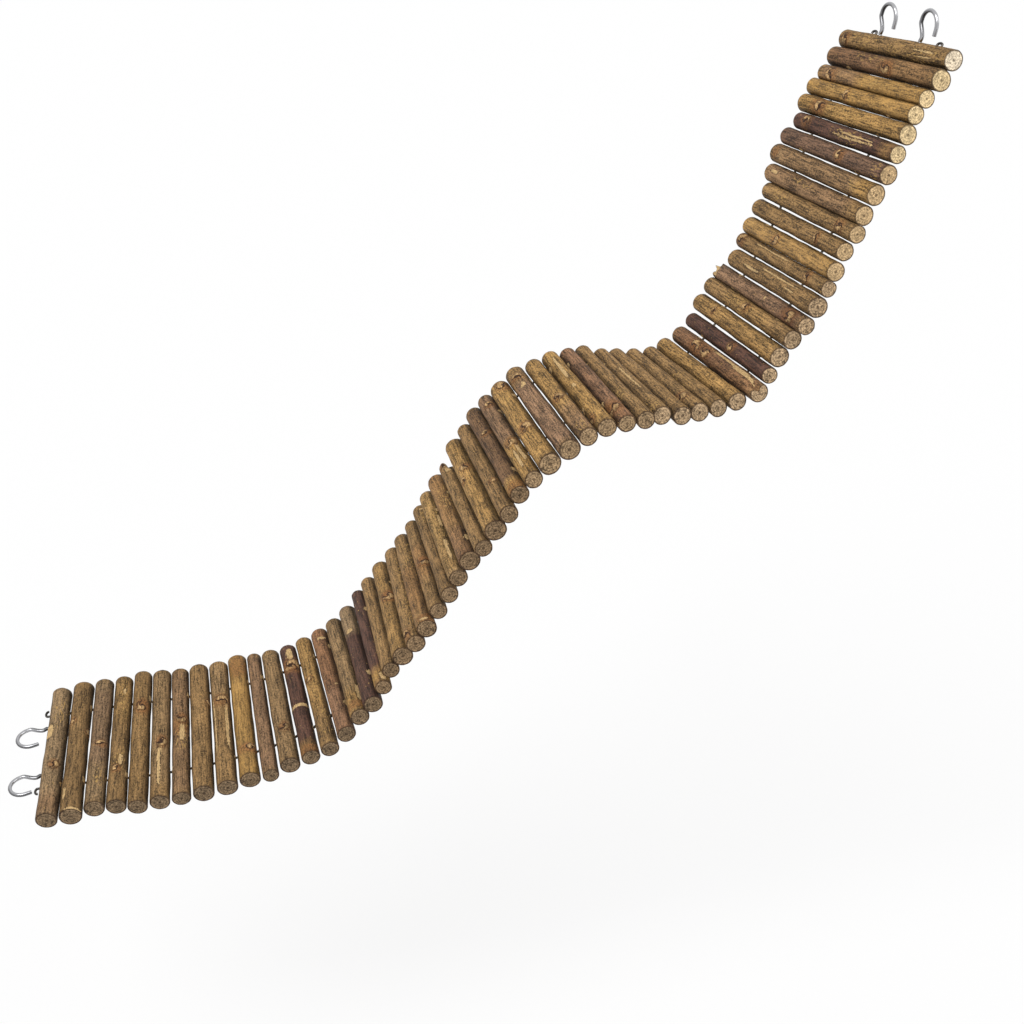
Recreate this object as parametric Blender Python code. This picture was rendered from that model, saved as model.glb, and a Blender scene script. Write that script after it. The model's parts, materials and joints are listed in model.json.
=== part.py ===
"""Bendable pet bridge of branch sticks, threaded on two wires, with screw hooks at both ends.

Metres, +Z up. The deck climbs towards +X. Sticks are counted from the lower end, and
the front is the side towards -Y. The origin lies between the seats of the two upper
hooks, which hang on whatever holds the bridge. Each stick's object has its origin in
the middle of the gap above it, where the wires bend, and its own Y axis is the axis
that it bends about. Each stick is the child of the next one up.
"""

import math
import random

import bmesh
import bpy
from mathutils import Matrix, Vector

# Branch sticks, cut to one length and left in their bark
STICK_LENGTH = 0.090
STICK_DIAMETER = 0.0090
STICK_BOW = 0.0003
STICK_TAPER_SHARE = 0.03
STICK_SIDES_RESOLUTION = 4

# Gap between two neighbours where they come closest, and how far one gap can bend
STICK_GAP = 0.0003
BEND_LIMIT_DEGREES = 20

# Neighbours in one node meet bark to bark, pressed together by this much
PAIR_PRESS = 0.0005
PAIRED_STICKS = ((18, 19), (21, 22), (24, 25), (46, 47), (49, 50), (52, 53), (58, 59))

# Two wires through all sticks, their ends bent over outside the end sticks
WIRE_DIAMETER = 0.0012
WIRE_HOLE_DIAMETER = 0.0022
WIRE_SPACING = 0.052
CURL_STUB = 0.0012
CURL_HEIGHT = 0.0016
CURL_WIDTH = 0.0036
CURL_STEPS = 6
CURL_END_GAP = 0.0004

# Open screw hooks, two in each end stick
HOOK_WIRE_DIAMETER = 0.0019
HOOK_HOLE_DIAMETER = 0.0026
HOOK_SPACING = 0.034
HOOK_SCREW_LENGTH = 0.0042
HOOK_HOLE_DEPTH = 0.0047
HOOK_STEM = 0.0085
HOOK_SWAY = 0.0010
HOOK_SWAY_SHARES = ((0.1, 0.0), (0.3, 1.0), (0.6, 0.5))
HOOK_BOW_RADIUS = 0.0063
HOOK_TIP = 0.0030
HOOK_SWEEP_DEGREES = 195
HOOK_STEPS = 12
UPPER_HOOK_LEAN_DEGREES = 35

# Cutters reach this far past what they cut
OVERRUN = 0.0010
HOLE_SIDES = 8
WELD_DISTANCE = 0.00001
SMOOTH_ANGLE = math.radians(40)

# Bent line of the deck: stick number, climb, heading and sideways tilt in degrees
DECK_STATIONS = (
    (1, 6, 6, 9),
    (5, 4, 7, 11),
    (9, 10, 9, 9),
    (13, 23, 11, 6),
    (17, 48, 13, -1),
    (21, 52, 12, -3),
    (25, 59, 13, -2),
    (29, 56, 13, 0),
    (33, 37, 15, 0),
    (36, 1, 16, 0),
    (38, -10, 16, -2),
    (41, 9, 18, -3),
    (43, 38, 20, -3),
    (45, 57, 21, -4),
    (49, 58, 22, -5),
    (53, 67, 24, -5),
    (57, 57, 26, -6),
    (61, 50, 26, -7),
)

# Thickness of each stick, as a share of the usual one
THICKNESS_SHARES = (
    1.13, 1.16, 1.08, 1.04, 1.06, 1.05, 0.96, 1.12, 1.08, 1.08,
    0.84, 1.06, 0.96, 0.94, 0.99, 0.99, 1.01, 0.87, 0.94, 1.06,
    0.99, 1.06, 0.96, 0.94, 0.99, 1.11, 0.96, 1.16, 0.96, 1.01,
    0.99, 1.16, 1.13, 1.01, 0.99, 0.94, 0.96, 0.99, 0.99, 0.99,
    0.96, 0.99, 1.06, 0.89, 1.06, 1.01, 0.96, 1.11, 0.87, 1.04,
    0.99, 0.96, 1.06, 1.08, 0.99, 0.96, 1.01, 0.96, 0.94, 1.08,
    1.06,
)

# How far each end stands out of line, as a share of a stick's thickness
FRONT_REACH_SHARES = (
    0.4, 0.3, -0.1, -0.1, 0.1, 0.0, 0.0, 0.0, 0.0, -0.1,
    0.1, -0.1, 0.1, 0.4, 0.3, 0.1, 0.4, 0.2, -0.3, -0.1,
    0.3, 0.2, 0.0, -0.1, -0.4, -0.4, 0.2, 0.2, 0.4, 0.0,
    0.1, 0.2, 0.4, 0.4, 0.3, 0.4, 0.3, -0.2, -0.1, -0.4,
    -0.4, -0.3, 0.2, -0.2, -0.4, -0.2, 0.3, 0.3, 0.3, 0.0,
    -0.2, 0.1, -0.1, 0.1, 0.3, 0.2, 0.1, -0.2, -0.1, 0.1,
    0.0,
)
BACK_REACH_SHARES = (
    -0.4, -0.2, -0.2, -0.2, 0.0, -0.1, -0.1, -0.1, -0.1, 0.1,
    0.0, -0.3, -0.4, -0.3, -0.3, -0.3, -0.2, 0.3, 0.5, 0.5,
    0.5, 0.5, 0.4, 0.5, 0.5, 0.3, 0.0, 0.5, 0.4, 0.5,
    0.3, -0.1, 0.0, -0.5, -0.5, -0.5, 0.0, -0.2, 0.1, 0.0,
    -0.1, 0.1, 0.0, 0.1, 0.5, 0.5, 0.5, -0.4, 0.0, 0.0,
    0.0, -0.3, 0.1, 0.3, 0.1, -0.4, 0.1, 0.2, 0.0, 0.1,
    0.2,
)

# Rings along a stick: place as a share of its length, least and most thickness share
STICK_RING_SHARES = (
    (0.00, 0.97, 1.00),
    (0.22, 0.97, 1.00),
    (0.50, 0.97, 1.00),
    (0.78, 0.97, 1.00),
    (1.00, 0.97, 1.00),
)

# Bark colours, and the sticks that differ from the usual olive brown
BARK_COLOURS = {
    "olive": (0.135, 0.095, 0.042),
    "golden": (0.235, 0.150, 0.055),
    "purple": (0.060, 0.036, 0.030),
    "red": (0.125, 0.066, 0.040),
    "grey": (0.160, 0.120, 0.075),
}
BARK_OF_STICK = {
    1: "grey", 10: "golden", 13: "purple", 15: "red", 17: "purple", 18: "purple",
    25: "grey", 26: "red", 36: "red", 44: "purple", 50: "golden", 55: "purple",
    56: "purple", 58: "golden", 59: "golden",
}
BARK_ROUGHNESS = 0.8
STEEL_COLOUR = (0.62, 0.62, 0.62)
STEEL_ROUGHNESS = 0.25
WIRE_COLOUR = (0.30, 0.29, 0.28)
WIRE_ROUGHNESS = 0.4
SEED = 61

STICK_COUNT = len(THICKNESS_SHARES)
FRONT, BACK = -1, 1


def clear_scene():
    """Removes what the scene holds."""
    for obj in list(bpy.data.objects):
        bpy.data.objects.remove(obj, do_unlink=True)


def new_collection(name):
    collection = bpy.data.collections.new(name)
    bpy.context.scene.collection.children.link(collection)
    return collection


def new_material(name, colour, roughness, metallic):
    """A Principled BSDF material with one colour."""
    material = bpy.data.materials.new(name)
    material.use_nodes = True
    shader = material.node_tree.nodes["Principled BSDF"]
    shader.inputs["Base Color"].default_value = (*colour, 1)
    shader.inputs["Roughness"].default_value = roughness
    shader.inputs["Metallic"].default_value = metallic
    return material


def smooth_value(stations, column, number):
    """A station's angle in radians at any stick, on a smooth curve through the stations."""
    places = [station[0] for station in stations]
    values = [station[column] for station in stations]
    last = len(places) - 1
    slopes = []
    for i in range(last + 1):
        before, after = max(i - 1, 0), min(i + 1, last)
        slopes.append((values[after] - values[before]) / (places[after] - places[before]))
    i = 0
    while i < last - 1 and number >= places[i + 1]:
        i += 1
    span = places[i + 1] - places[i]
    t = (number - places[i]) / span
    value = (2 * t**3 - 3 * t**2 + 1) * values[i]
    value += (t**3 - 2 * t**2 + t) * span * slopes[i]
    value += (3 * t**2 - 2 * t**3) * values[i + 1]
    value += (t**3 - t**2) * span * slopes[i + 1]
    return math.radians(value)


def stick_turn(number):
    """How a stick stands: X along the deck, Y along the stick to its back end, Z out of the deck."""
    climb = smooth_value(DECK_STATIONS, 1, number)
    heading = smooth_value(DECK_STATIONS, 2, number)
    tilt = smooth_value(DECK_STATIONS, 3, number)
    turn = Matrix.Rotation(heading, 3, "Z") @ Matrix.Rotation(-climb, 3, "Y")
    return turn @ Matrix.Rotation(tilt, 3, "X")


def stick_radius(number):
    return STICK_DIAMETER / 2 * THICKNESS_SHARES[number - 1]


def half_gap(number):
    """Half the gap between a stick and the next one up, opened where the two fan or twist."""
    if (number, number + 1) in PAIRED_STICKS:
        return -PAIR_PRESS / 2
    lower, upper = stick_turn(number), stick_turn(number + 1)
    spread = (upper.col[1] - lower.col[1]) * STICK_LENGTH / 2
    fan = spread.dot(lower.col[0] + upper.col[0]) / 2
    twist = abs(spread.dot(lower.col[2] + upper.col[2])) / 2
    taper = (stick_radius(number) + stick_radius(number + 1)) * STICK_TAPER_SHARE
    opened = abs(fan + taper) + twist * math.sin(math.radians(BEND_LIMIT_DEGREES / 2))
    return (STICK_GAP + opened) / 2


def lay_deck():
    """Each stick's centre, and the middle of the gap above it, by stick number."""
    centres, pivots = {1: Vector((0, 0, 0))}, {}
    for number in range(1, STICK_COUNT):
        half = half_gap(number)
        lower, upper = stick_turn(number), stick_turn(number + 1)
        pivots[number] = centres[number] + lower.col[0] * (stick_radius(number) + half)
        reach = stick_radius(number + 1) + half
        centres[number + 1] = pivots[number] + upper.col[0] * reach
    pivots[STICK_COUNT] = centres[STICK_COUNT]
    seat = centres[STICK_COUNT] + stick_turn(STICK_COUNT) @ hook_seat(STICK_COUNT)
    for places in (centres, pivots):
        for number in places:
            places[number] = places[number] - seat
    return centres, pivots


def hook_seat(number):
    """Inside top of a hook's bow, in its stick's frame, midway between the two hooks."""
    height = stick_radius(number) + HOOK_STEM + HOOK_BOW_RADIUS - HOOK_WIRE_DIAMETER / 2
    return hook_turn(number) @ Vector((height, -HOOK_BOW_RADIUS + HOOK_SWAY, 0))


def hook_turn(number):
    """Turn of an end stick's hooks out of the deck. Only the upper ones are screwed in at a slant."""
    lean = math.radians(UPPER_HOOK_LEAN_DEGREES) if number == STICK_COUNT else 0
    return Matrix.Rotation(-lean, 3, "Y")


def tube(name, points, diameter, resolution, radii=None):
    """A closed tube along points, as a welded mesh. radii are shares of the diameter."""
    curve = bpy.data.curves.new(name, "CURVE")
    curve.dimensions = "3D"
    curve.bevel_depth = diameter / 2
    curve.bevel_resolution = resolution
    curve.use_fill_caps = True
    spline = curve.splines.new("POLY")
    spline.points.add(len(points) - 1)
    for i, point in enumerate(points):
        spline.points[i].co = (*point, 1)
        spline.points[i].radius = radii[i] if radii else 1
    guide = bpy.data.objects.new(name, curve)
    bpy.context.scene.collection.objects.link(guide)
    evaluated = guide.evaluated_get(bpy.context.evaluated_depsgraph_get())
    mesh = bpy.data.meshes.new_from_object(evaluated)
    bpy.data.objects.remove(guide, do_unlink=True)
    bpy.data.curves.remove(curve)
    shape = bmesh.new()
    shape.from_mesh(mesh)
    bpy.data.meshes.remove(mesh)
    bmesh.ops.remove_doubles(shape, verts=shape.verts, dist=WELD_DISTANCE)
    bmesh.ops.recalc_face_normals(shape, faces=shape.faces)
    return finished(shape, name)


def finished(shape, name):
    """A bmesh as a mesh, shaded smooth but for its sharp edges."""
    mesh = bpy.data.meshes.new(name)
    shape.to_mesh(mesh)
    shape.free()
    mesh.shade_smooth()
    mesh.set_sharp_from_angle(angle=SMOOTH_ANGLE)
    return mesh


def add_object(collection, name, mesh, material):
    obj = bpy.data.objects.new(name, mesh)
    collection.objects.link(obj)
    if material:
        mesh.materials.append(material)
    return obj


def stick_mesh(number, name, place, chance):
    """One branch stick, along Y of its place and about its own centre."""
    front = -STICK_LENGTH / 2 - FRONT_REACH_SHARES[number - 1] * STICK_DIAMETER
    back = STICK_LENGTH / 2 + BACK_REACH_SHARES[number - 1] * STICK_DIAMETER
    bow = chance.uniform(-1, 1) * STICK_BOW
    points, radii = [], []
    for share, least, most in STICK_RING_SHARES:
        lift = bow * math.sin(math.pi * share)
        points.append((0, front + (back - front) * share, lift))
        taper = 1 + STICK_TAPER_SHARE * (1 - 2 * share)
        radii.append(chance.uniform(least, most) * taper * THICKNESS_SHARES[number - 1])
    mesh = tube(name, points, STICK_DIAMETER, STICK_SIDES_RESOLUTION, radii)
    mesh.transform(place)
    return mesh


def drill(shape, place, start, depth, diameter):
    """Adds a round cutter to a bmesh: along X of the place, from start over depth."""
    turn = Matrix.Rotation(math.radians(90), 4, "Y")
    middle = Vector(start) + Vector((depth / 2, 0, 0))
    bmesh.ops.create_cone(
        shape,
        cap_ends=True,
        segments=HOLE_SIDES,
        radius1=diameter / 2,
        radius2=diameter / 2,
        depth=depth,
        matrix=place @ Matrix.Translation(middle) @ turn,
    )


def holes_mesh(number, name, place):
    """Cutters of one stick's holes: two for the wires, and two blind ones for an end stick's hooks."""
    radius = stick_radius(number)
    depth = HOOK_HOLE_DEPTH + OVERRUN
    shape = bmesh.new()
    for side in (FRONT, BACK):
        start = (-radius - OVERRUN, side * WIRE_SPACING / 2, 0)
        drill(shape, place, start, 2 * (radius + OVERRUN), WIRE_HOLE_DIAMETER)
        if number == 1:
            start = (-radius - OVERRUN, side * HOOK_SPACING / 2, 0)
            drill(shape, place, start, depth, HOOK_HOLE_DIAMETER)
        if number == STICK_COUNT:
            start = (radius - HOOK_HOLE_DEPTH, side * HOOK_SPACING / 2, 0)
            drill(shape, place @ hook_turn(number).to_4x4(), start, depth, HOOK_HOLE_DIAMETER)
    return finished(shape, name)


def add_boolean(cutters, obj, operation, mesh):
    """Joins a mesh in the object's own frame to it, or cuts it out."""
    other = add_object(cutters, mesh.name, mesh, None)
    other.hide_render = True
    other.display_type = "WIRE"
    other.parent = obj
    modifier = obj.modifiers.new(mesh.name, "BOOLEAN")
    modifier.operation = operation
    modifier.object = other
    modifier.solver = "EXACT"


def stick_groups():
    """The sticks of each node, lower one first, from the top of the deck down."""
    groups, number = [], STICK_COUNT
    while number > 0:
        pair = (number - 1, number)
        members = pair if pair in PAIRED_STICKS else (number,)
        groups.append(members)
        number -= len(members)
    return groups


def group_name(members):
    return "stick_" + "_".join(f"{number:02d}" for number in members)


def stick_frame(number, point):
    """A frame at a point, turned as the stick is."""
    return Matrix.Translation(point) @ stick_turn(number).to_4x4()


def make_sticks(parts, cutters, centres, pivots):
    """All sticks, from the top one down, each node the child of the one above it."""
    chance = random.Random(SEED)
    above, placed, sticks = None, None, {}
    for members in stick_groups():
        top = members[-1]
        frame = stick_frame(top, pivots[top])
        places = {n: frame.inverted() @ stick_frame(n, centres[n]) for n in members}
        meshes = {n: stick_mesh(n, f"rod_{n:02d}", places[n], chance) for n in members}
        colour = BARK_COLOURS[BARK_OF_STICK.get(top, "olive")]
        material = new_material(group_name(members), colour, BARK_ROUGHNESS, 0)
        stick = add_object(parts, group_name(members), meshes[top], material)
        for number in members[:-1]:
            add_boolean(cutters, stick, "UNION", meshes[number])
        for number in members:
            holes = holes_mesh(number, f"holes_{number:02d}", places[number])
            add_boolean(cutters, stick, "DIFFERENCE", holes)
        if above:
            stick.parent = above
            stick.matrix_basis = placed.inverted() @ frame
        else:
            stick.matrix_basis = frame
        sticks[top] = stick
        above, placed = stick, frame
    return sticks


def wire_curl(side):
    """A wire's bent-over end, seen from the outer mouth of its hole: out along X, and along Y."""
    points = []
    for step in range(CURL_STEPS + 1):
        angle = math.pi * step / CURL_STEPS
        out = CURL_STUB + (CURL_HEIGHT - WIRE_DIAMETER / 2) * math.sin(angle)
        along = side * CURL_WIDTH / 2 * (1 - math.cos(angle))
        points.append(Vector((out, along, 0)))
    end = points[-1].copy()
    end.x = CURL_END_GAP
    return points + [end]


def make_wire(parts, name, side, centres, pivots):
    """One wire from curl to curl: straight through each stick, bent only in the gaps."""
    offset = Vector((0, side * WIRE_SPACING / 2, 0))
    route = []
    first, last = stick_turn(1), stick_turn(STICK_COUNT)
    mouth = centres[1] + first @ (offset - Vector((stick_radius(1), 0, 0)))
    for point in reversed(wire_curl(side)):
        route.append(mouth + first @ Vector((-point.x, point.y, 0)))
    for number in range(1, STICK_COUNT):
        lower = pivots[number] + stick_turn(number) @ offset
        upper = pivots[number] + stick_turn(number + 1) @ offset
        route.append((lower + upper) / 2)
    mouth = centres[STICK_COUNT] + last @ (offset + Vector((stick_radius(STICK_COUNT), 0, 0)))
    for point in wire_curl(side):
        route.append(mouth + last @ point)
    mesh = tube(name, route, WIRE_DIAMETER, 2)
    material = new_material(name, WIRE_COLOUR, WIRE_ROUGHNESS, 1)
    return add_object(parts, name, mesh, material)


def hook_points(radius, outward):
    """A hook's line in its stick's frame: screw, swayed stem, round bow and short tip."""
    line = [(radius - HOOK_SCREW_LENGTH, 0), (radius, 0)]
    for place, sway in HOOK_SWAY_SHARES:
        line.append((radius + HOOK_STEM * place, -HOOK_SWAY * sway))
    sweep = math.radians(HOOK_SWEEP_DEGREES)
    for step in range(HOOK_STEPS + 1):
        angle = sweep * step / HOOK_STEPS
        out = radius + HOOK_STEM + HOOK_BOW_RADIUS * math.sin(angle)
        along = HOOK_SWAY - HOOK_BOW_RADIUS * (1 - math.cos(angle))
        line.append((out, along))
    out, along = line[-1]
    out += HOOK_TIP * math.cos(sweep)
    along -= HOOK_TIP * math.sin(sweep)
    line.append((out, along))
    return [Vector((outward * out, along, 0)) for out, along in line]


def make_hook(parts, name, stick, place, number, outward, side):
    """One screw hook in an end stick, with its bow open towards the front."""
    across = Vector((0, side * HOOK_SPACING / 2, 0))
    points = [across + point for point in hook_points(stick_radius(number), outward)]
    mesh = tube(name, points, HOOK_WIRE_DIAMETER, 2)
    hook = add_object(parts, name, mesh, new_material(name, STEEL_COLOUR, STEEL_ROUGHNESS, 1))
    hook.parent = stick
    hook.matrix_basis = place @ hook_turn(number).to_4x4()
    return hook


def main():
    clear_scene()
    parts = new_collection("pet_bridge")
    cutters = new_collection("cutters")
    centres, pivots = lay_deck()
    sticks = make_sticks(parts, cutters, centres, pivots)
    for side, place in ((FRONT, "front"), (BACK, "back")):
        make_wire(parts, f"wire_{place}", side, centres, pivots)
        for number, end, outward in ((1, "lower", -1), (STICK_COUNT, "upper", 1)):
            own = stick_frame(number, pivots[number]).inverted() @ stick_frame(number, centres[number])
            make_hook(parts, f"hook_{end}_{place}", sticks[number], own, number, outward, side)


if __name__ == "__main__":
    main()
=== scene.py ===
"""A bendable pet bridge: branch sticks on two soft wires, with screw hooks at both ends.

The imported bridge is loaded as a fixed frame. Each stick, each length of wire and each
hook is then modelled where the frame holds it, and gets its own finish: bark with knots,
peels and sawn ends, drawn wire and zinc plated hooks. The stage comes last. All sizes
are in metres. Sticks are counted from the lower end, and their front is towards -Y.
"""

import json
import math
import random

import bpy
import numpy as np
from bpy.props import FloatProperty, FloatVectorProperty, IntProperty, PointerProperty
from bpy.types import Operator, Panel, PropertyGroup
from mathutils import Matrix, Vector, noise

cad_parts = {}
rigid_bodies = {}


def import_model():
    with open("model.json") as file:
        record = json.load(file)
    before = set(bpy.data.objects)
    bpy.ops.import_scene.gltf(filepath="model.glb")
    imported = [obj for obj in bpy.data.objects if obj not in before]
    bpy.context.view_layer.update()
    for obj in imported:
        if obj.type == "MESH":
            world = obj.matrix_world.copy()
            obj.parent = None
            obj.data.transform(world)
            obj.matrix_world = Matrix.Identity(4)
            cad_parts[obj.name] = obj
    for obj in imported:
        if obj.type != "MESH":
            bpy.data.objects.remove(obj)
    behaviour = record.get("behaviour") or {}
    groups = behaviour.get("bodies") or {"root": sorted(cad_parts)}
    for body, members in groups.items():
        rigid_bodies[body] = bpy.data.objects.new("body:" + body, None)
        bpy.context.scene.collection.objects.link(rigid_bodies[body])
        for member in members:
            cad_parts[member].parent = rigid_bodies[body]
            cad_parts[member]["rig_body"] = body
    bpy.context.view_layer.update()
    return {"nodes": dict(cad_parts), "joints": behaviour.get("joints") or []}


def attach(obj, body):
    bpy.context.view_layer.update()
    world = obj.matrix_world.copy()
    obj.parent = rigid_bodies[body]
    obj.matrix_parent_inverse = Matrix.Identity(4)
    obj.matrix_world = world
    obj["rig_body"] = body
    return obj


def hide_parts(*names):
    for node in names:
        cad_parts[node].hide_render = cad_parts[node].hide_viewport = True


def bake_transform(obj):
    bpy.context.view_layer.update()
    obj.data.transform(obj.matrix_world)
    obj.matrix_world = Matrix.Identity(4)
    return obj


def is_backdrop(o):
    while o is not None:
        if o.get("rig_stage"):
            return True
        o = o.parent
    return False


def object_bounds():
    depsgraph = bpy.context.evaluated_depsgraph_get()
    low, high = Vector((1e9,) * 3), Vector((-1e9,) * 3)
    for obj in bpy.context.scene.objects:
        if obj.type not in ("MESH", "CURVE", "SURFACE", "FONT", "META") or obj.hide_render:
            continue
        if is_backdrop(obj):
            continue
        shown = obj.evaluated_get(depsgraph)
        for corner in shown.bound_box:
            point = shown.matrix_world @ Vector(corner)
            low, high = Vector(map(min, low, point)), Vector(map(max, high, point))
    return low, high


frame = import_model()

bl_info = {
    "name": "Pet bridge",
    "version": (1, 0, 0),
    "blender": (4, 5, 0),
    "location": "View3D > Sidebar > Pet bridge",
    "description": "Branch sticks in their bark on two bendable wires, with screw hooks",
    "category": "Object",
}

SEED = 61

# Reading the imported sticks: how deep a sawn end's points lie, and what is left out at a pair's join
END_DEPTH = 0.0006
JOIN_MARGIN = 0.0010

# Bark of each stick that isn't the usual olive brown
BARK_OF_STICK = {
    1: "grey", 10: "golden", 13: "purple", 15: "red", 17: "purple", 18: "purple",
    25: "grey", 26: "red", 36: "red", 44: "purple", 50: "golden", 55: "purple",
    56: "purple", 58: "golden", 59: "golden",
}

# Stretches in another colour: stick, colour, from and to as shares from the front end, strength. The scar
# colour over the whole of sticks 24 and 29 is painted shade.
ZONES = (
    (1, "red", 0.00, 0.15, 0.5), (3, "grey", 0.00, 1.00, 0.8), (3, "mauve", 0.30, 0.90, 0.5),
    (4, "golden", 0.60, 1.00, 0.3), (5, "golden", 0.05, 0.95, 0.10), (6, "grey", 0.10, 1.00, 0.4),
    (7, "mauve", 0.00, 1.00, 0.5), (9, "grey", 0.70, 1.00, 0.4), (11, "mauve", 0.00, 1.00, 0.7),
    (12, "grey", 0.00, 1.00, 0.4), (13, "golden", 0.00, 0.08, 0.7), (14, "golden", 0.30, 1.00, 0.45),
    (14, "scar", 0.00, 0.45, 0.12), (15, "mauve", 0.00, 0.40, 0.5), (16, "golden", 0.00, 0.25, 0.5),
    (16, "grey", 0.20, 1.00, 0.5), (17, "grey", 0.70, 1.00, 1.0), (18, "golden", 0.00, 0.13, 0.9),
    (20, "golden", 0.00, 1.00, 0.4), (22, "rust", 0.10, 0.60, 0.3), (23, "rust", 0.30, 0.70, 0.3),
    # Painted shade: stick 24, at the start of this line, and stick 29, at the end of the next, are darkened
    # all along
    (24, "scar", 0.00, 1.00, 0.16), (25, "golden", 0.00, 1.00, 0.6), (26, "golden", 0.30, 1.00, 0.4),
    (26, "olive", 0.00, 0.45, 0.4), (28, "golden", 0.00, 1.00, 0.5), (29, "scar", 0.00, 1.00, 0.16),
    (30, "purple", 0.10, 1.00, 0.6), (30, "golden", 0.00, 0.10, 0.9), (31, "mauve", 0.40, 1.00, 0.7),
    (31, "golden", 0.00, 0.40, 0.7), (32, "golden", 0.00, 1.00, 0.6), (33, "mauve", 0.00, 0.80, 0.8),
    (34, "golden", 0.20, 1.00, 0.5), (34, "mauve", 0.00, 0.35, 0.5), (35, "golden", 0.00, 1.00, 0.6),
    (36, "mauve", 0.20, 1.00, 0.4), (42, "golden", 0.00, 1.00, 0.5), (43, "red", 0.00, 1.00, 0.8),
    (43, "purple", 0.25, 1.00, 0.35), (45, "golden", 0.00, 1.00, 0.4), (46, "golden", 0.20, 0.70, 0.3),
    (47, "mauve", 0.20, 1.00, 0.8), (47, "purple", 0.02, 0.22, 0.9), (50, "olive", 0.00, 1.00, 0.35),
    (53, "mauve", 0.10, 1.00, 0.5), (54, "grey", 0.15, 1.00, 0.5), (54, "red", 0.15, 0.90, 0.3),
    (54, "golden", 0.00, 0.12, 0.7), (55, "mauve", 0.00, 1.00, 0.75), (56, "golden", 0.00, 0.10, 0.5),
    (57, "golden", 0.00, 1.00, 0.6), (59, "mauve", 0.60, 1.00, 0.6), (60, "purple", 0.50, 1.00, 0.6),
    (60, "golden", 0.00, 0.45, 0.1), (60, "red", 0.00, 1.00, 0.4),
)

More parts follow.
